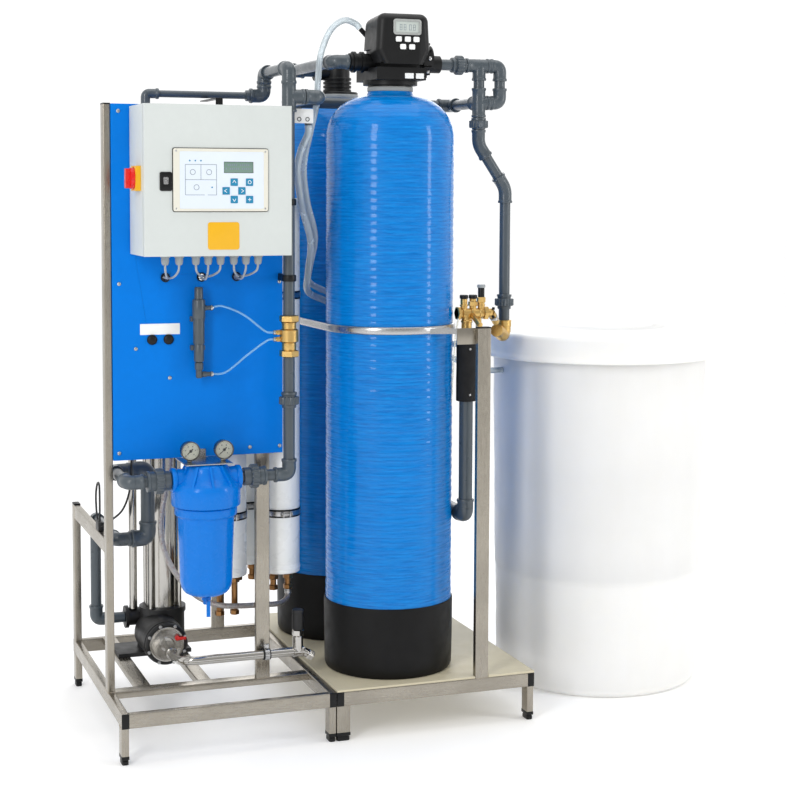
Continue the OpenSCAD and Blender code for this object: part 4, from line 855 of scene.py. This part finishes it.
@part("osmosis_pipes", "pvc", nodes=["ro_pipework"], angle=40)
def _(bm):
    low, tee, top = (496, 115, 742), (496, 115, 1790), (496, 115, 1868)
    left, back, dt, dl = (42, 115, 742), (42, 320, 742), (138, 320, 742), (138, 320, 545)
    sl, sb, inlet = (46, 320, 545), (46, 650, 545), (46, 650, 235)
    ov, ovl, ovx = (496, 370, 1868), (496, 370, 1803), (150, 370, 1803)
    fitting(bm, low, [Z, -X], R1)
    fitting(bm, tee, [Z, -Z, X], R1)
    fitting(bm, top, [-Z, Y], R1)
    pipe(bm, low, (496, 115, 1075), R1, (1, 0))
    pipe(bm, (496, 115, 1184), tee, R1, (0, 1))
    pipe(bm, tee, top, R1)
    union(bm, (496, 115, 951), -Z, R1)
    union(bm, (396, 115, 742), -X, R1, 32, 16)
    pipe(bm, low, (334, 115, 742), R1, (1, 0))
    union(bm, (126, 115, 742), X, R1, 32, 18)
    pipe(bm, left, (183, 115, 742), R1, (1, 0))
    fitting(bm, left, [X, Y], R1)
    pipe(bm, left, back, R1)
    fitting(bm, back, [X, -Y], R1)
    pipe(bm, back, dt, R1)
    fitting(bm, dt, [-X, -Z], R2)
    pipe(bm, dt, dl, R2)
    fitting(bm, dl, [Z, -X], R2)
    pipe(bm, dl, sl, R1)
    for c in (dt, dl):
        add_lathe(bm, c, -X, [(R2, 25), (R2, 50.5), (R1 + 2, 51), (R1, 51)], 40, False)
    fitting(bm, sl, [X, Y], R1)
    pipe(bm, sl, sb, R1)
    fitting(bm, sb, [-Y, -Z], R1)
    pipe(bm, sb, inlet, R1)
    fitting(bm, inlet, [Z, X], R1)
    pipe(bm, inlet, (131, 650, 235), R1, (1, 0))
    pipe(bm, top, ov, R1)
    fitting(bm, ov, [-Y, -Z], R1)
    pipe(bm, ov, ovl, R1)
    fitting(bm, ovl, [Z, -X], R1)
    add_lathe(bm, ovl, -X, [(R1, 22), (R1, 54), (R1 - 1, 55), (R3, 55)], 40, False)
    thin = [ovx, (150, 370, 1570), (364, 370, 1570), (364, 300, 1570)]
    pipe(bm, ovl, ovx, R3)
    for a, b in zip(thin, thin[1:]):
        pipe(bm, a, b, R3)
    for c, dirs in zip(thin, ([X, -Z], [Z, X], [-X, -Y], [Y, -Z])):
        fitting(bm, c, dirs, R3)
    pipe(bm, thin[-1], (364, 300, 1510), R3, (1, 0))


@part("softener_pipes", "pvc", nodes=["softener_pipework"], angle=40)
def _(bm):
    ya, vz, mz = 222, 1897, 1790
    left, lb, rt, re = (660, ya, vz), (660, 660, vz), (1106, ya, vz), (1172, ya, vz)
    ll, lt, mr, ml, fr = (1172, ya, mz), (1106, ya, mz), (1106, 441, mz), (585, 441, mz), (585, 115, mz)
    dt, dl, drain = (1106, ya, 1668), (1193, ya, 1540), (1035, 130, 590)
    dd = (Vector(dl) - Vector(dt)).normalized()
    fitting(bm, left, [X, Y], R1)
    pipe(bm, left, (721, ya, vz), R1, (1, 0))
    pipe(bm, left, lb, R1)
    fitting(bm, lb, [X, -Y], R1)
    pipe(bm, lb, (757, 660, vz), R1, (1, 0))
    pipe(bm, (959, ya, vz), rt, R1, (0, 1))
    union(bm, (1040, ya, vz), X, R1)
    fitting(bm, rt, [-X, X, -Z], R1)
    pipe(bm, rt, re, R1)
    fitting(bm, re, [-X, -Z], R1)
    pipe(bm, re, ll, R1)
    fitting(bm, ll, [Z, -X], R1)
    pipe(bm, ll, lt, R1)
    fitting(bm, lt, [X, Z, -Z, Y], R1)
    pipe(bm, rt, lt, R1)
    pipe(bm, lt, mr, R1)
    fitting(bm, mr, [-Y, -X], R1)
    pipe(bm, mr, ml, R1)
    fitting(bm, ml, [X, -Y], R1)
    pipe(bm, ml, fr, R1)
    fitting(bm, fr, [Y, -X], R1)
    pipe(bm, fr, (496, 115, mz), R1)
    pipe(bm, lt, dt, R1)
    union(bm, (1106, ya, 1729), -Z, R1, 17)
    fitting(bm, dt, [Z, dd], R1)
    pipe(bm, dt, dl, R1)
    fitting(bm, dl, [-dd, -Z], R1)
    pipe(bm, dl, (1193, ya, 1130), R1, (1, 0))
    union(bm, (1193, ya, 1205), -Z, R1)
    pipe(bm, drain, (1035, 130, 1111), R2, (1, 0))
    fitting(bm, drain, [Z, Y], R2)
    pipe(bm, drain, (1035, 450, 590), R2, (1, 0))
    plate_xz(bm, 515, 571, 1719, 1757, 134, 6, 4, 0.5)
    add_cyl(bm, (562, 150, 1713), (562, 150, 1745), 10, 32)
    add_cyl(bm, (562, 140, 1735), (562, 150, 1735), 9, 32)


@part("drain_insulation", "foam")
def _(bm):
    add_lathe(bm, (1035, 130, 925), (0, 0, 1), [(20.2, 0), (28, 0.2), (29.2, 2), (29.4, 60), (28.9, 110),
                                               (29.3, 168), (28, 169.8), (20.2, 170)], 48, False)


@part("insulation_rivets", "zinc")
def _(bm):
    for z in (945, 1078):
        add_lathe(bm, (1035, 101.2, z), (0, -1, 0), [(3.4, 0), (3.2, 0.9), (2, 1.6), (0.2, 1.9)], 20, False)


@part("riser_clips", "black")
def _(bm):
    for z in (1290, 1500):
        add_lathe(bm, (496, 115, z - 9), (0, 0, 1), [(16.1, 0), (19.5, 0.3), (20.2, 2), (20.2, 16),
                                                    (19.5, 17.7), (16.1, 18)], 40, False)
        add_box(bm, (488, 133, z - 9), (499, 199.5, z + 9), 1.2)


# ------------------------------------------------------------------ brass
VESSELS = ((524, 300), (364, 300), (457, 450))


@part("brass_work", "brass", nodes=["brass_fittings"])
def _(bm):
    x, y = 496, 115
    add_hex(bm, (x, y, 1071), (x, y, 1090), 48, 2)
    add_lathe(bm, (x, y, 1088), (0, 0, 1), [
        (19, 0), (20, 2), (20, 22), (23, 24.5), (26, 26), (26, 58), (23, 60), (20, 62), (20, 76),
        (21.5, 77), (21.5, 79), (19, 80)], 48)
    add_hex(bm, (x, y, 1168), (x, y, 1187), 48, 2)
    for z in (1121, 1140):
        add_cyl(bm, (x - 40, y, z), (x - 18, y, z), 6, 24)
        add_hex(bm, (x - 36, y, z), (x - 26, y, z), 13)
    add_lathe(bm, (196, 262, 830), (0, 0, 1), [(9, 0), (9, 10), (11, 11), (11, 15), (9, 16), (9, 34),
                                               (11, 35), (11, 39), (9, 40), (9, 49), (7.5, 50)], 32)
    add_lathe(bm, (1003, 130, 1180), X, [(14, 0), (14, 15), (17, 17), (17, 25), (14, 27), (14, 41),
                                         (17, 43), (17, 50), (14, 52), (14, 68), (16, 70), (16, 76),
                                         (14, 78), (14, 97)], 40)
    add_hex(bm, (1003, 130, 1180), (1014, 130, 1180), 36, 2)
    add_hex(bm, (1085, 130, 1180), (1100, 130, 1180), 36, 2)
    for px in (1026, 1054, 1080):
        add_lathe(bm, (px, 130, 1180), Z, [(10, 0), (10, 20), (11.8, 21), (11.8, 25), (10, 26), (10, 41),
                                           (8.5, 42)], 32)
    add_hex(bm, (1054, 130, 1200), (1054, 130, 1214), 24, 1.5)
    add_hex(bm, (1080, 130, 1210), (1080, 130, 1226), 22, 1.5)
    add_cyl(bm, (1048, 130, 1180), (1048, 60, 1150), 8, 28)
    add_lathe(bm, (1035, 130, 1112), Z, [(15, 0), (15, 40), (17, 42), (17, 47), (15, 49), (15, 68)], 40)
    add_hex(bm, (1035, 130, 1112), (1035, 130, 1130), 46, 2)
    add_cyl(bm, (1074, 130, 1150), (1074, 130, 1180), 7, 24)
    add_cyl(bm, (1100, 130, 1180), (1112, 130, 1180), 12, 32)
    p, q = (1112.1, 130, 1180), (1140, 160, 1150)
    add_hose(bm, [p, (1120, 138, 1172), (1131, 150, 1160), q], 11, 32)
    add_lathe(bm, (1193, 222, 1117), Z, [(20.2, -4), (20.4, 12), (22, 14), (22, 32), (20, 33)], 48)
    add_hose(bm, [(1193, 222, 1122), (1192, 221, 1112), (1187, 216, 1106), (1178, 206, 1109),
                  (1166, 194, 1118), (1150, 178, 1123)], 19, 40)


@part("vessel_ports", "bronze")
def _(bm):
    for vx, vy in VESSELS:
        low = 307.95 if vx < 400 else 370.95
        for dx in (-22, 22):
            add_cyl(bm, (vx + dx, vy, low), (vx + dx, vy, 425.9), 9, 32)
            add_hex(bm, (vx + dx, vy, 402), (vx + dx, vy, 416), 26, 1.5)
            add_hex(bm, (vx + dx, vy, low), (vx + dx, vy, low + 14), 24, 1.5)


@part("manifold_caps", "black")
def _(bm):
    for x, z in ((1026, 1222), (1054, 1222)):
        add_lathe(bm, (x, 130, z), Z, [(9, 0), (12, 0.3), (12.3, 2), (12.3, 9), (11, 11), (0.3, 11.4)], 32,
                  False, (12, 0.4, 1, 9.5))
    add_lathe(bm, (1080, 130, 1226), Z, [(9.5, 0), (9.5, 26), (8.8, 27), (0.3, 27)], 32, False)
    for a in (0, 120, 240):
        u = Vector((0, math.cos(math.radians(a)), math.sin(math.radians(a)))) * 14
        add_cyl(bm, Vector((1112.5, 130, 1180)) + u, Vector((1119, 130, 1180)) + u * 1.02, 4, 12)


@part("relief_cap", "gland")
def _(bm):
    add_lathe(bm, (1080, 130, 1253), Z, [(0.3, 0), (11, 0), (11.5, 1), (11.5, 8), (10.6, 9.5), (0.3, 9.8)],
              32, False, (16, 0.3, 1, 8))


@part("hose_clamp", "zinc")
def _(bm):
    o, u = Vector((1122, 140.5, 1169.3)), Vector((27.9, 30, -30)).normalized()
    add_lathe(bm, o, u, [(11.5, 0), (12.3, 0), (12.3, 8), (11.5, 8)], 40, False)
    add_box(bm, (1117, 126, 1156), (1128, 133, 1163), 1)
    add_cyl(bm, (1112, 129, 1159), (1134, 129, 1159), 2.6, 16)


@part("bead_chain", "dial")
def _(bm):
    path = spline([(1003, 116, 1164), (995, 108, 1140), (990, 106, 1110), (985, 107, 1010), (981, 108, 924)], 10)
    add_hose(bm, None, 0.6, 8, pts=path)
    for a, b in zip(path, path[1:]):
        for i in range(max(1, round((b - a).length / (5.4 * MM)))):
            at = a.lerp(b, i / max(1, round((b - a).length / (5.4 * MM))))
            bmesh.ops.create_icosphere(bm, subdivisions=2, radius=2.3 * MM, matrix=Matrix.Translation(at))


# ------------------------------------------------------------------ flow cell and hoses
@part("cell_ends", "pvc", nodes=["flow_cell"])
def _(bm):
    x, y = 254, 172
    add_lathe(bm, (x, y, 0), Z, [(7, 1014), (9, 1016), (9, 1036), (12, 1038), (12, 1056), (9, 1058),
                                 (13, 1060), (14, 1062), (14, 1108), (13, 1110)], 40)
    add_lathe(bm, (x, y, 0), Z, [(16, 1178), (18, 1181), (18, 1228), (16, 1232), (12, 1233), (12, 1262),
                                 (10, 1266)], 40)
    for z in (1090, 1170):
        add_box(bm, (x - 20, y + 10, z), (x + 20, 199.9, z + 14), 1.5)
    for z in (1024, 1208):
        add_lathe(bm, (x, y, z), X, [(8, 8), (8, 20), (6.6, 21), (6.6, 32), (6, 33)], 28)


@part("cell_tube", "pvc")
def _(bm):
    add_lathe(bm, (254, 172, 0), Z, [(13.6, 1108), (15.6, 1110), (15.8, 1114), (15.8, 1174), (15.4, 1178),
                                     (13.6, 1180)], 48)


@part("push_rings", "zinc")
def _(bm):
    for z in (1024, 1208):
        add_lathe(bm, (254, 172, z), X, [(6.7, 33), (8.0, 33), (8.3, 34.5), (8.0, 38), (6.9, 40), (3.2, 40),
                                         (3.1, 37)], 32, False)
    for z in (1121, 1140):
        add_lathe(bm, (456, 115, z), -X, [(6.7, 0), (7.2, 0.6), (7.0, 4), (5.8, 5.2), (3.2, 5.2)], 28, False)


@part("sample_tubes", "sample", nodes=["clear_hoses"])
def _(bm):
    add_hose(bm, [(291, 172, 1208), (320, 168, 1212), (370, 130, 1190), (425, 116, 1146),
                  (446, 115, 1140), (466, 115, 1140)], 3, 16)
    add_hose(bm, [(291, 172, 1024), (330, 166, 1029), (385, 135, 1080), (430, 116, 1116),
                  (446, 115, 1121), (466, 115, 1121)], 3, 16)


@part("brine_hoses", "clear")
def _(bm):
    add_hose(bm, [(756.2, 279, 1998.8), (742, 279, 2012), (704, 266, 2018), (660, 252, 1988),
                  (630, 248, 1920), (622, 250, 1850), (618, 250, 1780), (598, 245, 1700),
                  (578, 245, 1600), (590, 250, 1500), (624, 285, 1400), (632, 360, 1310),
                  (650, 425, 1260), (720, 441, 1225), (820, 441, 1190), (930, 441, 1140),
                  (1010, 441, 1080), (1090, 430, 1030), (1160, 410, 995), (1215, 400, 980),
                  (1255, 400, 979), (1290, 400, 979), (1712, 400, 979)], 9, 24)
    add_hose(bm, [(562, 150, 1711.5), (562, 151, 1690), (552, 190, 1640), (550, 215, 1580),
                  (570, 230, 1480), (604, 262, 1385), (620, 340, 1290), (640, 410, 1235),
                  (700, 458, 1205), (800, 460, 1170), (900, 455, 1120), (970, 425, 1090),
                  (1040, 360, 1070), (1078, 260, 1080), (1084, 190, 1096), (1080, 150, 1112),
                  (1074, 131, 1130), (1074, 130, 1149.5)], 10, 24)


BRAID = [(196, 262, 829), (195, 262, 800), (190, 264, 750), (182, 268, 700), (170, 270, 635),
         (165, 270, 577), (175, 270, 515), (205, 270, 450), (255, 270, 388), (300, 270, 358),
         (345, 270, 343), (400, 270, 338), (460, 272, 336), (505, 276, 334), (531, 288, 338),
         (545, 299, 350), (546, 300, 370)]


@part("pressure_hose", "braid", nodes=["braided_hose"])
def _(bm):
    add_hose(bm, BRAID, 8, 24, 10)


@part("hose_ferrules", "zinc")
def _(bm):
    for pts in (spline(BRAID[:2], 8)[:5], spline(BRAID[-3:], 8)[-6:]):
        add_hose(bm, None, 10, 28, pts=pts, swell=lambda i: 0.93 if i in (1, 3) else 1)


# ------------------------------------------------------------------ pump
@part("outlet_line", "sleeve", nodes=["discharge_pipe"])
def _(bm):
    add_lathe(bm, (216, 451, 198), -Y, [(52.4, 8), (52.2, 16.5), (51, 17.6), (44, 18), (42, 17), (22, 16.6),
                                       (20, 19), (12, 19.6), (11, 22), (0.3, 22.4)], 96, False)
    add_hose(bm, [(228, 434, 172), (228, 420, 172), (225, 380, 174), (219, 290, 190), (214, 225, 206),
                  (222, 194, 214), (250, 181, 216), (300, 180, 216), (420, 180, 216), (528, 180, 216)],
             12.5, 32, 10)
    add_lathe(bm, (228, 434, 172), -Y, [(17, 0), (17, 9), (15, 11), (12.5, 11.5)], 36, False)
    add_lathe(bm, (527, 180, 216), X, [(13, 0), (16, 1), (16, 6), (15, 7), (15, 22), (16, 23), (16, 29)], 36)
    add_lathe(bm, (541, 180, 216), Z, [(15, 0), (15, 44), (13, 46)], 36)
    add_hex(bm, (541, 180, 262), (541, 180, 280), 30, 2)
    add_cyl(bm, (556, 180, 216), (574, 180, 205), 12, 32)
    add_hex(bm, (570, 180, 207), (586, 180, 198), 26, 2)


@part("outlet_gauge_boss", "cast")
def _(bm):
    add_lathe(bm, (541, 180, 280), Z, [(13, 0), (16.5, 1), (17, 3), (17, 40), (16, 44), (17, 47), (17, 55),
                                       (15, 58)], 40, True, (16, 0.5, 4, 39))


@part("pump_cover_ring", "cast")
def _(bm):
    add_lathe(bm, (216, 451, 198), -Y, [(58, 0), (62, 0.5), (62.5, 2), (62.5, 10), (61, 13), (58, 17),
                                       (55, 18.2), (52.6, 17.6), (52.5, 10)], 96, False)


@part("pipe_clamp", "black")
def _(bm):
    add_lathe(bm, (437, 180, 216), X, [(12.8, 0), (15.6, 0.4), (16, 1.4), (16, 20), (15.6, 21.4),
                                      (12.8, 22)], 40)
    add_box(bm, (441, 194, 206), (455, 205.9, 226), 1.5)


@part("clamp_strap", "zinc")
def _(bm):
    add_lathe(bm, (441, 180, 216), X, [(16, 0), (17.2, 0.3), (17.2, 13.7), (16, 14)], 40, False)
    add_box(bm, (441, 178, 232), (455, 182, 246), 0.8)


@part("clamp_bolts", "zinc")
def _(bm):
    add_hex(bm, (448, 170, 240), (448, 178, 240), 10)
    for a in range(8):
        t = math.radians(45 * a + 20)
        c = (216 + 57 * math.cos(t), 198 + 57 * math.sin(t))
        add_lathe(bm, (c[0], 433.3, c[1]), -Y, [(5, 0), (5, 3), (3.4, 4.6), (0.3, 5)], 20, False)


@part("cover_plug", "red")
def _(bm):
    add_lathe(bm, (246, 433.4, 216), -Y, [(7, 0), (7.5, 1), (7.5, 6), (6, 8), (0.3, 8.5)], 28, False)
    add_box(bm, (247, 424, 210), (272, 430, 219), 2, 3)


# ------------------------------------------------------------------ membranes
@part("vessel_tubes", "vessel", nodes=["membrane_vessels"])
def _(bm):
    for x, y in VESSELS:
        add_lathe(bm, (x, y, 0), Z, [
            (49, 426), (54, 426.4), (56.6, 429), (56.6, 449), (56.0, 451.8), (55.6, 452.2), (56, 453),
            (56, 1483), (55.5, 1484), (56.5, 1485.2), (56.6, 1503), (54.5, 1508.4), (49, 1510)], 96)
        for z in (440, 1497):
            add_lathe(bm, (x, y, z), Z, [(56.6, -3), (57.3, -2), (57.3, 2), (56.6, 3)], 96, False)


@part("band_straps", "zinc", nodes=["clamp_bands"])
def _(bm):
    for x, y in VESSELS:
        for z in (590, 1220):
            add_lathe(bm, (x, y, z), Z, [(57.6, 6), (58.3, 6.2), (58.5, 7), (58.5, 19), (58.3, 19.8),
                                         (57.6, 20)], 96, False)
            for s in (-1, 1):
                add_box(bm, (x + s * 10 - 1.6, y - 71, z + 5), (x + s * 10 + 1.6, y - 55, z + 21), 0.8)
            add_cyl(bm, (x - 17, y - 65, z + 13), (x + 17, y - 65, z + 13), 3.2, 16)
            add_hex(bm, (x - 17, y - 65, z + 13), (x - 11.8, y - 65, z + 13), 11)
            add_hex(bm, (x + 11.8, y - 65, z + 13), (x + 17, y - 65, z + 13), 11)
    a, b = (830, 222), (812, 660)
    base = math.atan2(b[0] - a[0], a[1] - b[1])
    turns = [(c, t0 + math.pi * i / 48) for c, t0 in ((a, base), (b, base + math.pi)) for i in range(49)]
    rings = [[bm.verts.new(V(c[0] + math.cos(t) * (184.5 + off), c[1] + math.sin(t) * (184.5 + off), z))
              for c, t in turns]
             for off, z in ((0.6, 1130), (3.6, 1130.4), (5.8, 1132.4), (7, 1137), (7, 1145),
                            (5.8, 1149.6), (3.6, 1151.6), (0.6, 1152))]
    skin(bm, rings, False)
    strip = [bm.verts.new(V(px, py, z)) for z in (1130.5, 1146) for px, py in
             ((880, 40.6), (960.9, 21.8), (960.9, 24.9), (880, 43.7))]
    skin(bm, [strip[:4], strip[4:]])


@part("band_liners", "black")
def _(bm):
    for x, y in VESSELS:
        for z in (590, 1220):
            add_lathe(bm, (x, y, z), Z, [(56.1, 1.5), (57.5, 1.5), (57.55, 24.5), (56.1, 24.5)], 96, False)


# ------------------------------------------------------------------ softener tanks
TANKS = (("front", 830, 222), ("rear", 812, 660))
for tank, tx, ty in TANKS:
    @part(f"wound_tank_{tank}", "tank", nodes=[f"resin_tank_{tank}"], angle=60)
    def _(bm, tx=tx, ty=ty):
        r = 184.2
        low = [(60, 174), (90, 176), (140, 190), (168, 215), (r - 3, 250), (r - 0.8, 270)]
        side = [(r + 0.5 * math.sin(z / 3.4) + 0.35 * math.sin(z / 11.7 + 2), z)
                for z in range(290, 1680, 4)]
        top = []
        for i in range(0, 25):
            t = math.radians(3 + 84 * i / 24)
            top.append((63 + (r - 63) * math.cos(t) + 0.5 * math.sin(i * 2.1), 1685 + 118 * math.sin(t)))
        add_lathe(bm, (tx, ty, 0), Z, low + side + top + [(66, 1808), (63.5, 1815), (40, 1815)], 128)


@part("tank_boots", "boot", nodes=["tank_bases"])
def _(bm):
    for _, tx, ty in TANKS:
        add_lathe(bm, (tx, ty, 0), Z, [
            (150, 146.1), (178, 146.1), (181.5, 147.2), (184, 151), (186.2, 158), (187, 180), (188, 260),
            (188.5, 338), (188.3, 346), (187.4, 349.4), (186, 350), (184.9, 349.2), (184.9, 340)], 128, False)


@part("neck_rings", "device")
def _(bm):
    for _, tx, ty in TANKS:
        add_lathe(bm, (tx, ty, 1812), Z, [(63, 3), (65, 3.4), (65.8, 5), (65.8, 14), (65, 15.6), (64.1, 16)],
                  96, False)


@part("adapter_body", "black", nodes=["twin_adapter"])
def _(bm):
    x, y = 812, 660
    prof = [(63, 1815.2), (64, 1817), (64, 1833), (62, 1835.4)]
    for i in range(4):
        z = 1836 + 12 * i
        prof += [(43, z), (44, z + 0.8), (44, z + 7), (43, z + 8), (39, z + 8.4), (39, z + 11.6)]
    add_lathe(bm, (x, y, 0), Z, prof + [(39, 1920), (36, 1925), (0.3, 1925.3)], 64)
    add_lathe(bm, (x, y, 1897), -X, [(25, 0), (25, 62), (27.5, 63), (28, 65), (28, 73), (27, 75), (17, 75)], 48)


# ------------------------------------------------------------------ valve head
@part("valve_screen", "lcd_pale", "valve_cover")
def _(bm):
    plate_xz(bm, 806, 878, 1975, 2007, 115.6, 1.3, 3, 0.3)


@part("valve_screen_frame", "device", "valve_cover")
def _(bm):
    outer = rounded_rect(84, 44, 8, 5)
    inner = rounded_rect(71, 31, 3, 5)
    rings = [[bm.verts.new(V(842 + px, y, 1991 + pz)) for px, pz in pts] for pts, y in
             ((outer, 113.6), (rounded_rect(83, 43, 7.6, 5), 112.2), (rounded_rect(73, 33, 4, 5), 112.2),
              (inner, 113.2), (inner, 116.4))]
    skin(bm, rings, False)


@part("valve_digits", "ink", "valve_cover")
def _(bm):
    for i in range(4):
        x = 820 + 12 * i + (4 if i > 1 else 0)
        for dx, dz, w, h in ((0, 0, 7, 1.3), (0, 7.5, 7, 1.3), (0, 15, 7, 1.3), (0, 0, 1.3, 16), (5.7, 0, 1.3, 16)):
            if (i + int(dz)) % 5 != 4:
                add_box(bm, (x + dx, 115.45, 1982 + dz), (x + dx + w, 115.62, 1982 + dz + h))


@part("valve_stickers", "white")
def _(bm):
    plate_xz(bm, 842, 868, 1849, 1864, 131.2, 0.75, 1.5, 0.15)
    plate_xz(bm, 875, 899, 1849, 1864, 131.2, 0.75, 1.5, 0.15)


@part("valve_screws", "zinc")
def _(bm):
    for y in (160, 222, 284):
        add_lathe(bm, (906.2, y, 1868), X, [(5, 0), (5, 1.5), (3.5, 3.2), (2, 3.6), (1.8, 2.4)], 20)
    for y, z in ((176.5, 1910), (195, 1946), (194, 1874)):
        add_lathe(bm, (934, y, z), -Y, [(5.5, 0), (5.5, 3), (3.8, 4.6), (2, 5), (1.8, 3.8)], 20)


# ------------------------------------------------------------------ brine tank
@part("brine_barrel", "brine", nodes=["brine_tank"], angle=50)
def _(bm):
    def wob(z):
        return 0.5 * math.sin(z / 61) + 0.3 * math.sin(z / 23 + 1)

    outer = [(200, 0.2), (290, 0), (298, 1.2), (304, 4.5), (310, 11), (313, 16), (315.2, 23), (316, 32)]
    outer += [(316.2 + 5.6 * (z - 32) / 318 + wob(z), z) for z in range(60, 350, 20)]
    outer += [(321.6, 347), (322.6, 351), (323.6, 356), (323.8, 364)]
    outer += [(324 + 9.6 * (z - 364) / 696 + wob(z), z) for z in range(380, 1050, 20)]
    outer += [(334, 1058), (336, 1061), (341, 1063), (342, 1066), (342, 1076), (341, 1079), (336, 1081),
              (334, 1084), (334, 1089), (333, 1090), (329, 1090)]
    inner = [(328, 1060), (321, 360), (313, 340), (310, 32), (300, 8), (200, 6)]
    add_lathe(bm, (1600, 400, 0), Z, outer + inner, 160)


@part("brine_cover", "brine", "brine_lid", nodes=["brine_lid"], angle=50)
def _(bm):
    add_lathe(bm, (1600, 400, 0), Z, [
        (357.2, 1022), (366, 1022), (367.6, 1023), (368, 1025.5), (367.6, 1031.5), (366, 1035),
        (364, 1039), (363.2, 1044), (363, 1086), (362, 1091), (359.4, 1096), (355, 1099.2), (348, 1101),
        (290, 1105.4), (226, 1109.6), (178, 1111.4), (170, 1112.4), (164, 1114.6), (158, 1117.4),
        (154, 1118.6), (120, 1119.2), (60, 1119.8), (0.4, 1120), (0.4, 1115), (200, 1112), (216, 1105),
        (318, 1098), (322, 1090.1), (357, 1090.1), (357, 1060)], 160, False)


# ------------------------------------------------------------------ CAD pieces that stay
PAINT = {
    "base_board": ("board", 1.2), "back_panel": ("blue_panel", 0.8), "enclosure_body": ("grey_box", 1.6),
    "enclosure_door": ("grey_box", 1.6), "door_lock": ("zinc", 0.4), "controller_panel": ("bezel", 0.5),
    "isolator_plate": ("yellow", 1.4), "isolator_knob": ("red", 1.8), "switchgear": ("device", 0.8),
    "filter_cartridge": ("media", 0.8), "drain_lever": ("filter_blue", 1.0),
    "steel_brackets": ("zinc", 0.6), "gauge_needle_left": ("needle", 0.15),
    "gauge_needle_right": ("needle", 0.15), "pump_base": ("cast", 2.0), "pump_sleeve": ("sleeve", 0.4),
    "pump_motor": ("motor", 1.0), "pump_rotor": ("zinc", 0.5), "membrane_elements": ("film", 0.6),
    "riser_tubes": ("white", 0.5), "valve_body": ("black", 1.6), "valve_cover": ("black", 0.8),
    "brine_well": ("white", 0.5), "brine_float": ("orange", 1.5)}
PAINT.update({f"controller_key_{i}": ("teal", 0.5) for i in range(1, 7)})
PAINT.update({f"valve_key_{i}": ("white", 0.8) for i in range(1, 6)})
for name, (key, width) in PAINT.items():
    ob = nodes[name]
    me = ob.data
    me.materials.clear()
    me.materials.append(M[key])
    if me.attributes.get("custom_normal"):
        me.attributes.remove(me.attributes["custom_normal"])
    for p in me.polygons:
        p.use_smooth = True
        p.material_index = 0
    weld = ob.modifiers.new("weld", "WELD")
    weld.merge_threshold = 2e-6
    bevel = ob.modifiers.new("bevel", "BEVEL")
    bevel.width, bevel.segments, bevel.limit_method = width * MM, 2, "ANGLE"
    bevel.angle_limit, bevel.use_clamp_overlap = math.radians(38), True
    soften = ob.modifiers.new("normals", "WEIGHTED_NORMAL")
    soften.keep_sharp, soften.weight = True, 50

panel = nodes["controller_panel"].data
panel.materials.append(M["membrane"])
panel.materials.append(M["needle"])
for p in panel.polygons:
    y = p.center.y / MM + OY
    if p.normal.y < -0.9 and -4.6 < y < -4.2:
        p.material_index = 1
    elif p.normal.y < -0.9 and -2.2 < y < -1.8:
        p.material_index = 2


brackets = nodes["steel_brackets"].data
brackets.materials.append(M["black"])
for p in brackets.polygons:
    if p.center.z > 1600 * MM:
        p.material_index = 1


# ------------------------------------------------------------------ studio
def plane(name, size, mat, at):
    bm = bmesh.new()
    bmesh.ops.create_grid(bm, x_segments=1, y_segments=1, size=size)
    me = bpy.data.meshes.new(name)
    bm.to_mesh(me)
    bm.free()
    me.materials.append(mat)
    ob = bpy.data.objects.new(name, me)
    ob.location = at
    scene_col.objects.link(ob)


def area(name, at, aim, size, power, colour=(1, 1, 1)):
    data = bpy.data.lights.new(name, "AREA")
    data.shape, data.size, data.size_y = "RECTANGLE", size[0], size[1]
    data.energy, data.color = power, colour
    ob = bpy.data.objects.new(name, data)
    ob.location = at
    ob.rotation_euler = (Vector(aim) - Vector(at)).to_track_quat("-Z", "Y").to_euler()
    scene_col.objects.link(ob)


plane("studio_floor", 40, floor_material(), (0, 0, 0))
area("key_left", (-3.0, -2.8, 2.6), (0, 0, 1.0), (0.7, 2.6), 56)
area("fill_right", (3.2, -2.6, 2.0), (0.2, 0, 0.9), (0.5, 2.4), 34)
area("top_soft", (0, -0.4, 4.4), (0, 0, 0), (3.2, 2.6), 34)
area("rim_back", (1.2, 3.6, 2.6), (0, 0, 1.0), (2.6, 2.0), 24)


def studio_world():
    """White room behind the object, dimmer in front of it, so that steel has dark parts to reflect."""
    world = bpy.data.worlds.new("studio")
    bpy.context.scene.world = world
    world.use_nodes = True
    nt = world.node_tree
    back = nt.nodes["Background"]
    coord = nt.nodes.new("ShaderNodeTexCoord")
    split = nt.nodes.new("ShaderNodeSeparateXYZ")
    ramp = nt.nodes.new("ShaderNodeValToRGB")
    nt.links.new(coord.outputs["Generated"], split.inputs[0])
    shift = nt.nodes.new("ShaderNodeMath")
    shift.operation = "MULTIPLY_ADD"
    shift.inputs[1].default_value, shift.inputs[2].default_value = 0.5, 0.5
    nt.links.new(split.outputs["Y"], shift.inputs[0])
    nt.links.new(shift.outputs[0], ramp.inputs["Fac"])
    ramp.color_ramp.elements[0].position, ramp.color_ramp.elements[0].color = 0.1, (0.50, 0.50, 0.50, 1)
    ramp.color_ramp.elements[1].position, ramp.color_ramp.elements[1].color = 0.62, (1, 1, 1, 1)
    nt.links.new(ramp.outputs["Color"], back.inputs["Color"])
    back.inputs["Strength"].default_value = 1.08


studio_world()
bpy.context.scene.view_settings.view_transform = "Standard"
bpy.context.scene.view_settings.look = "None"
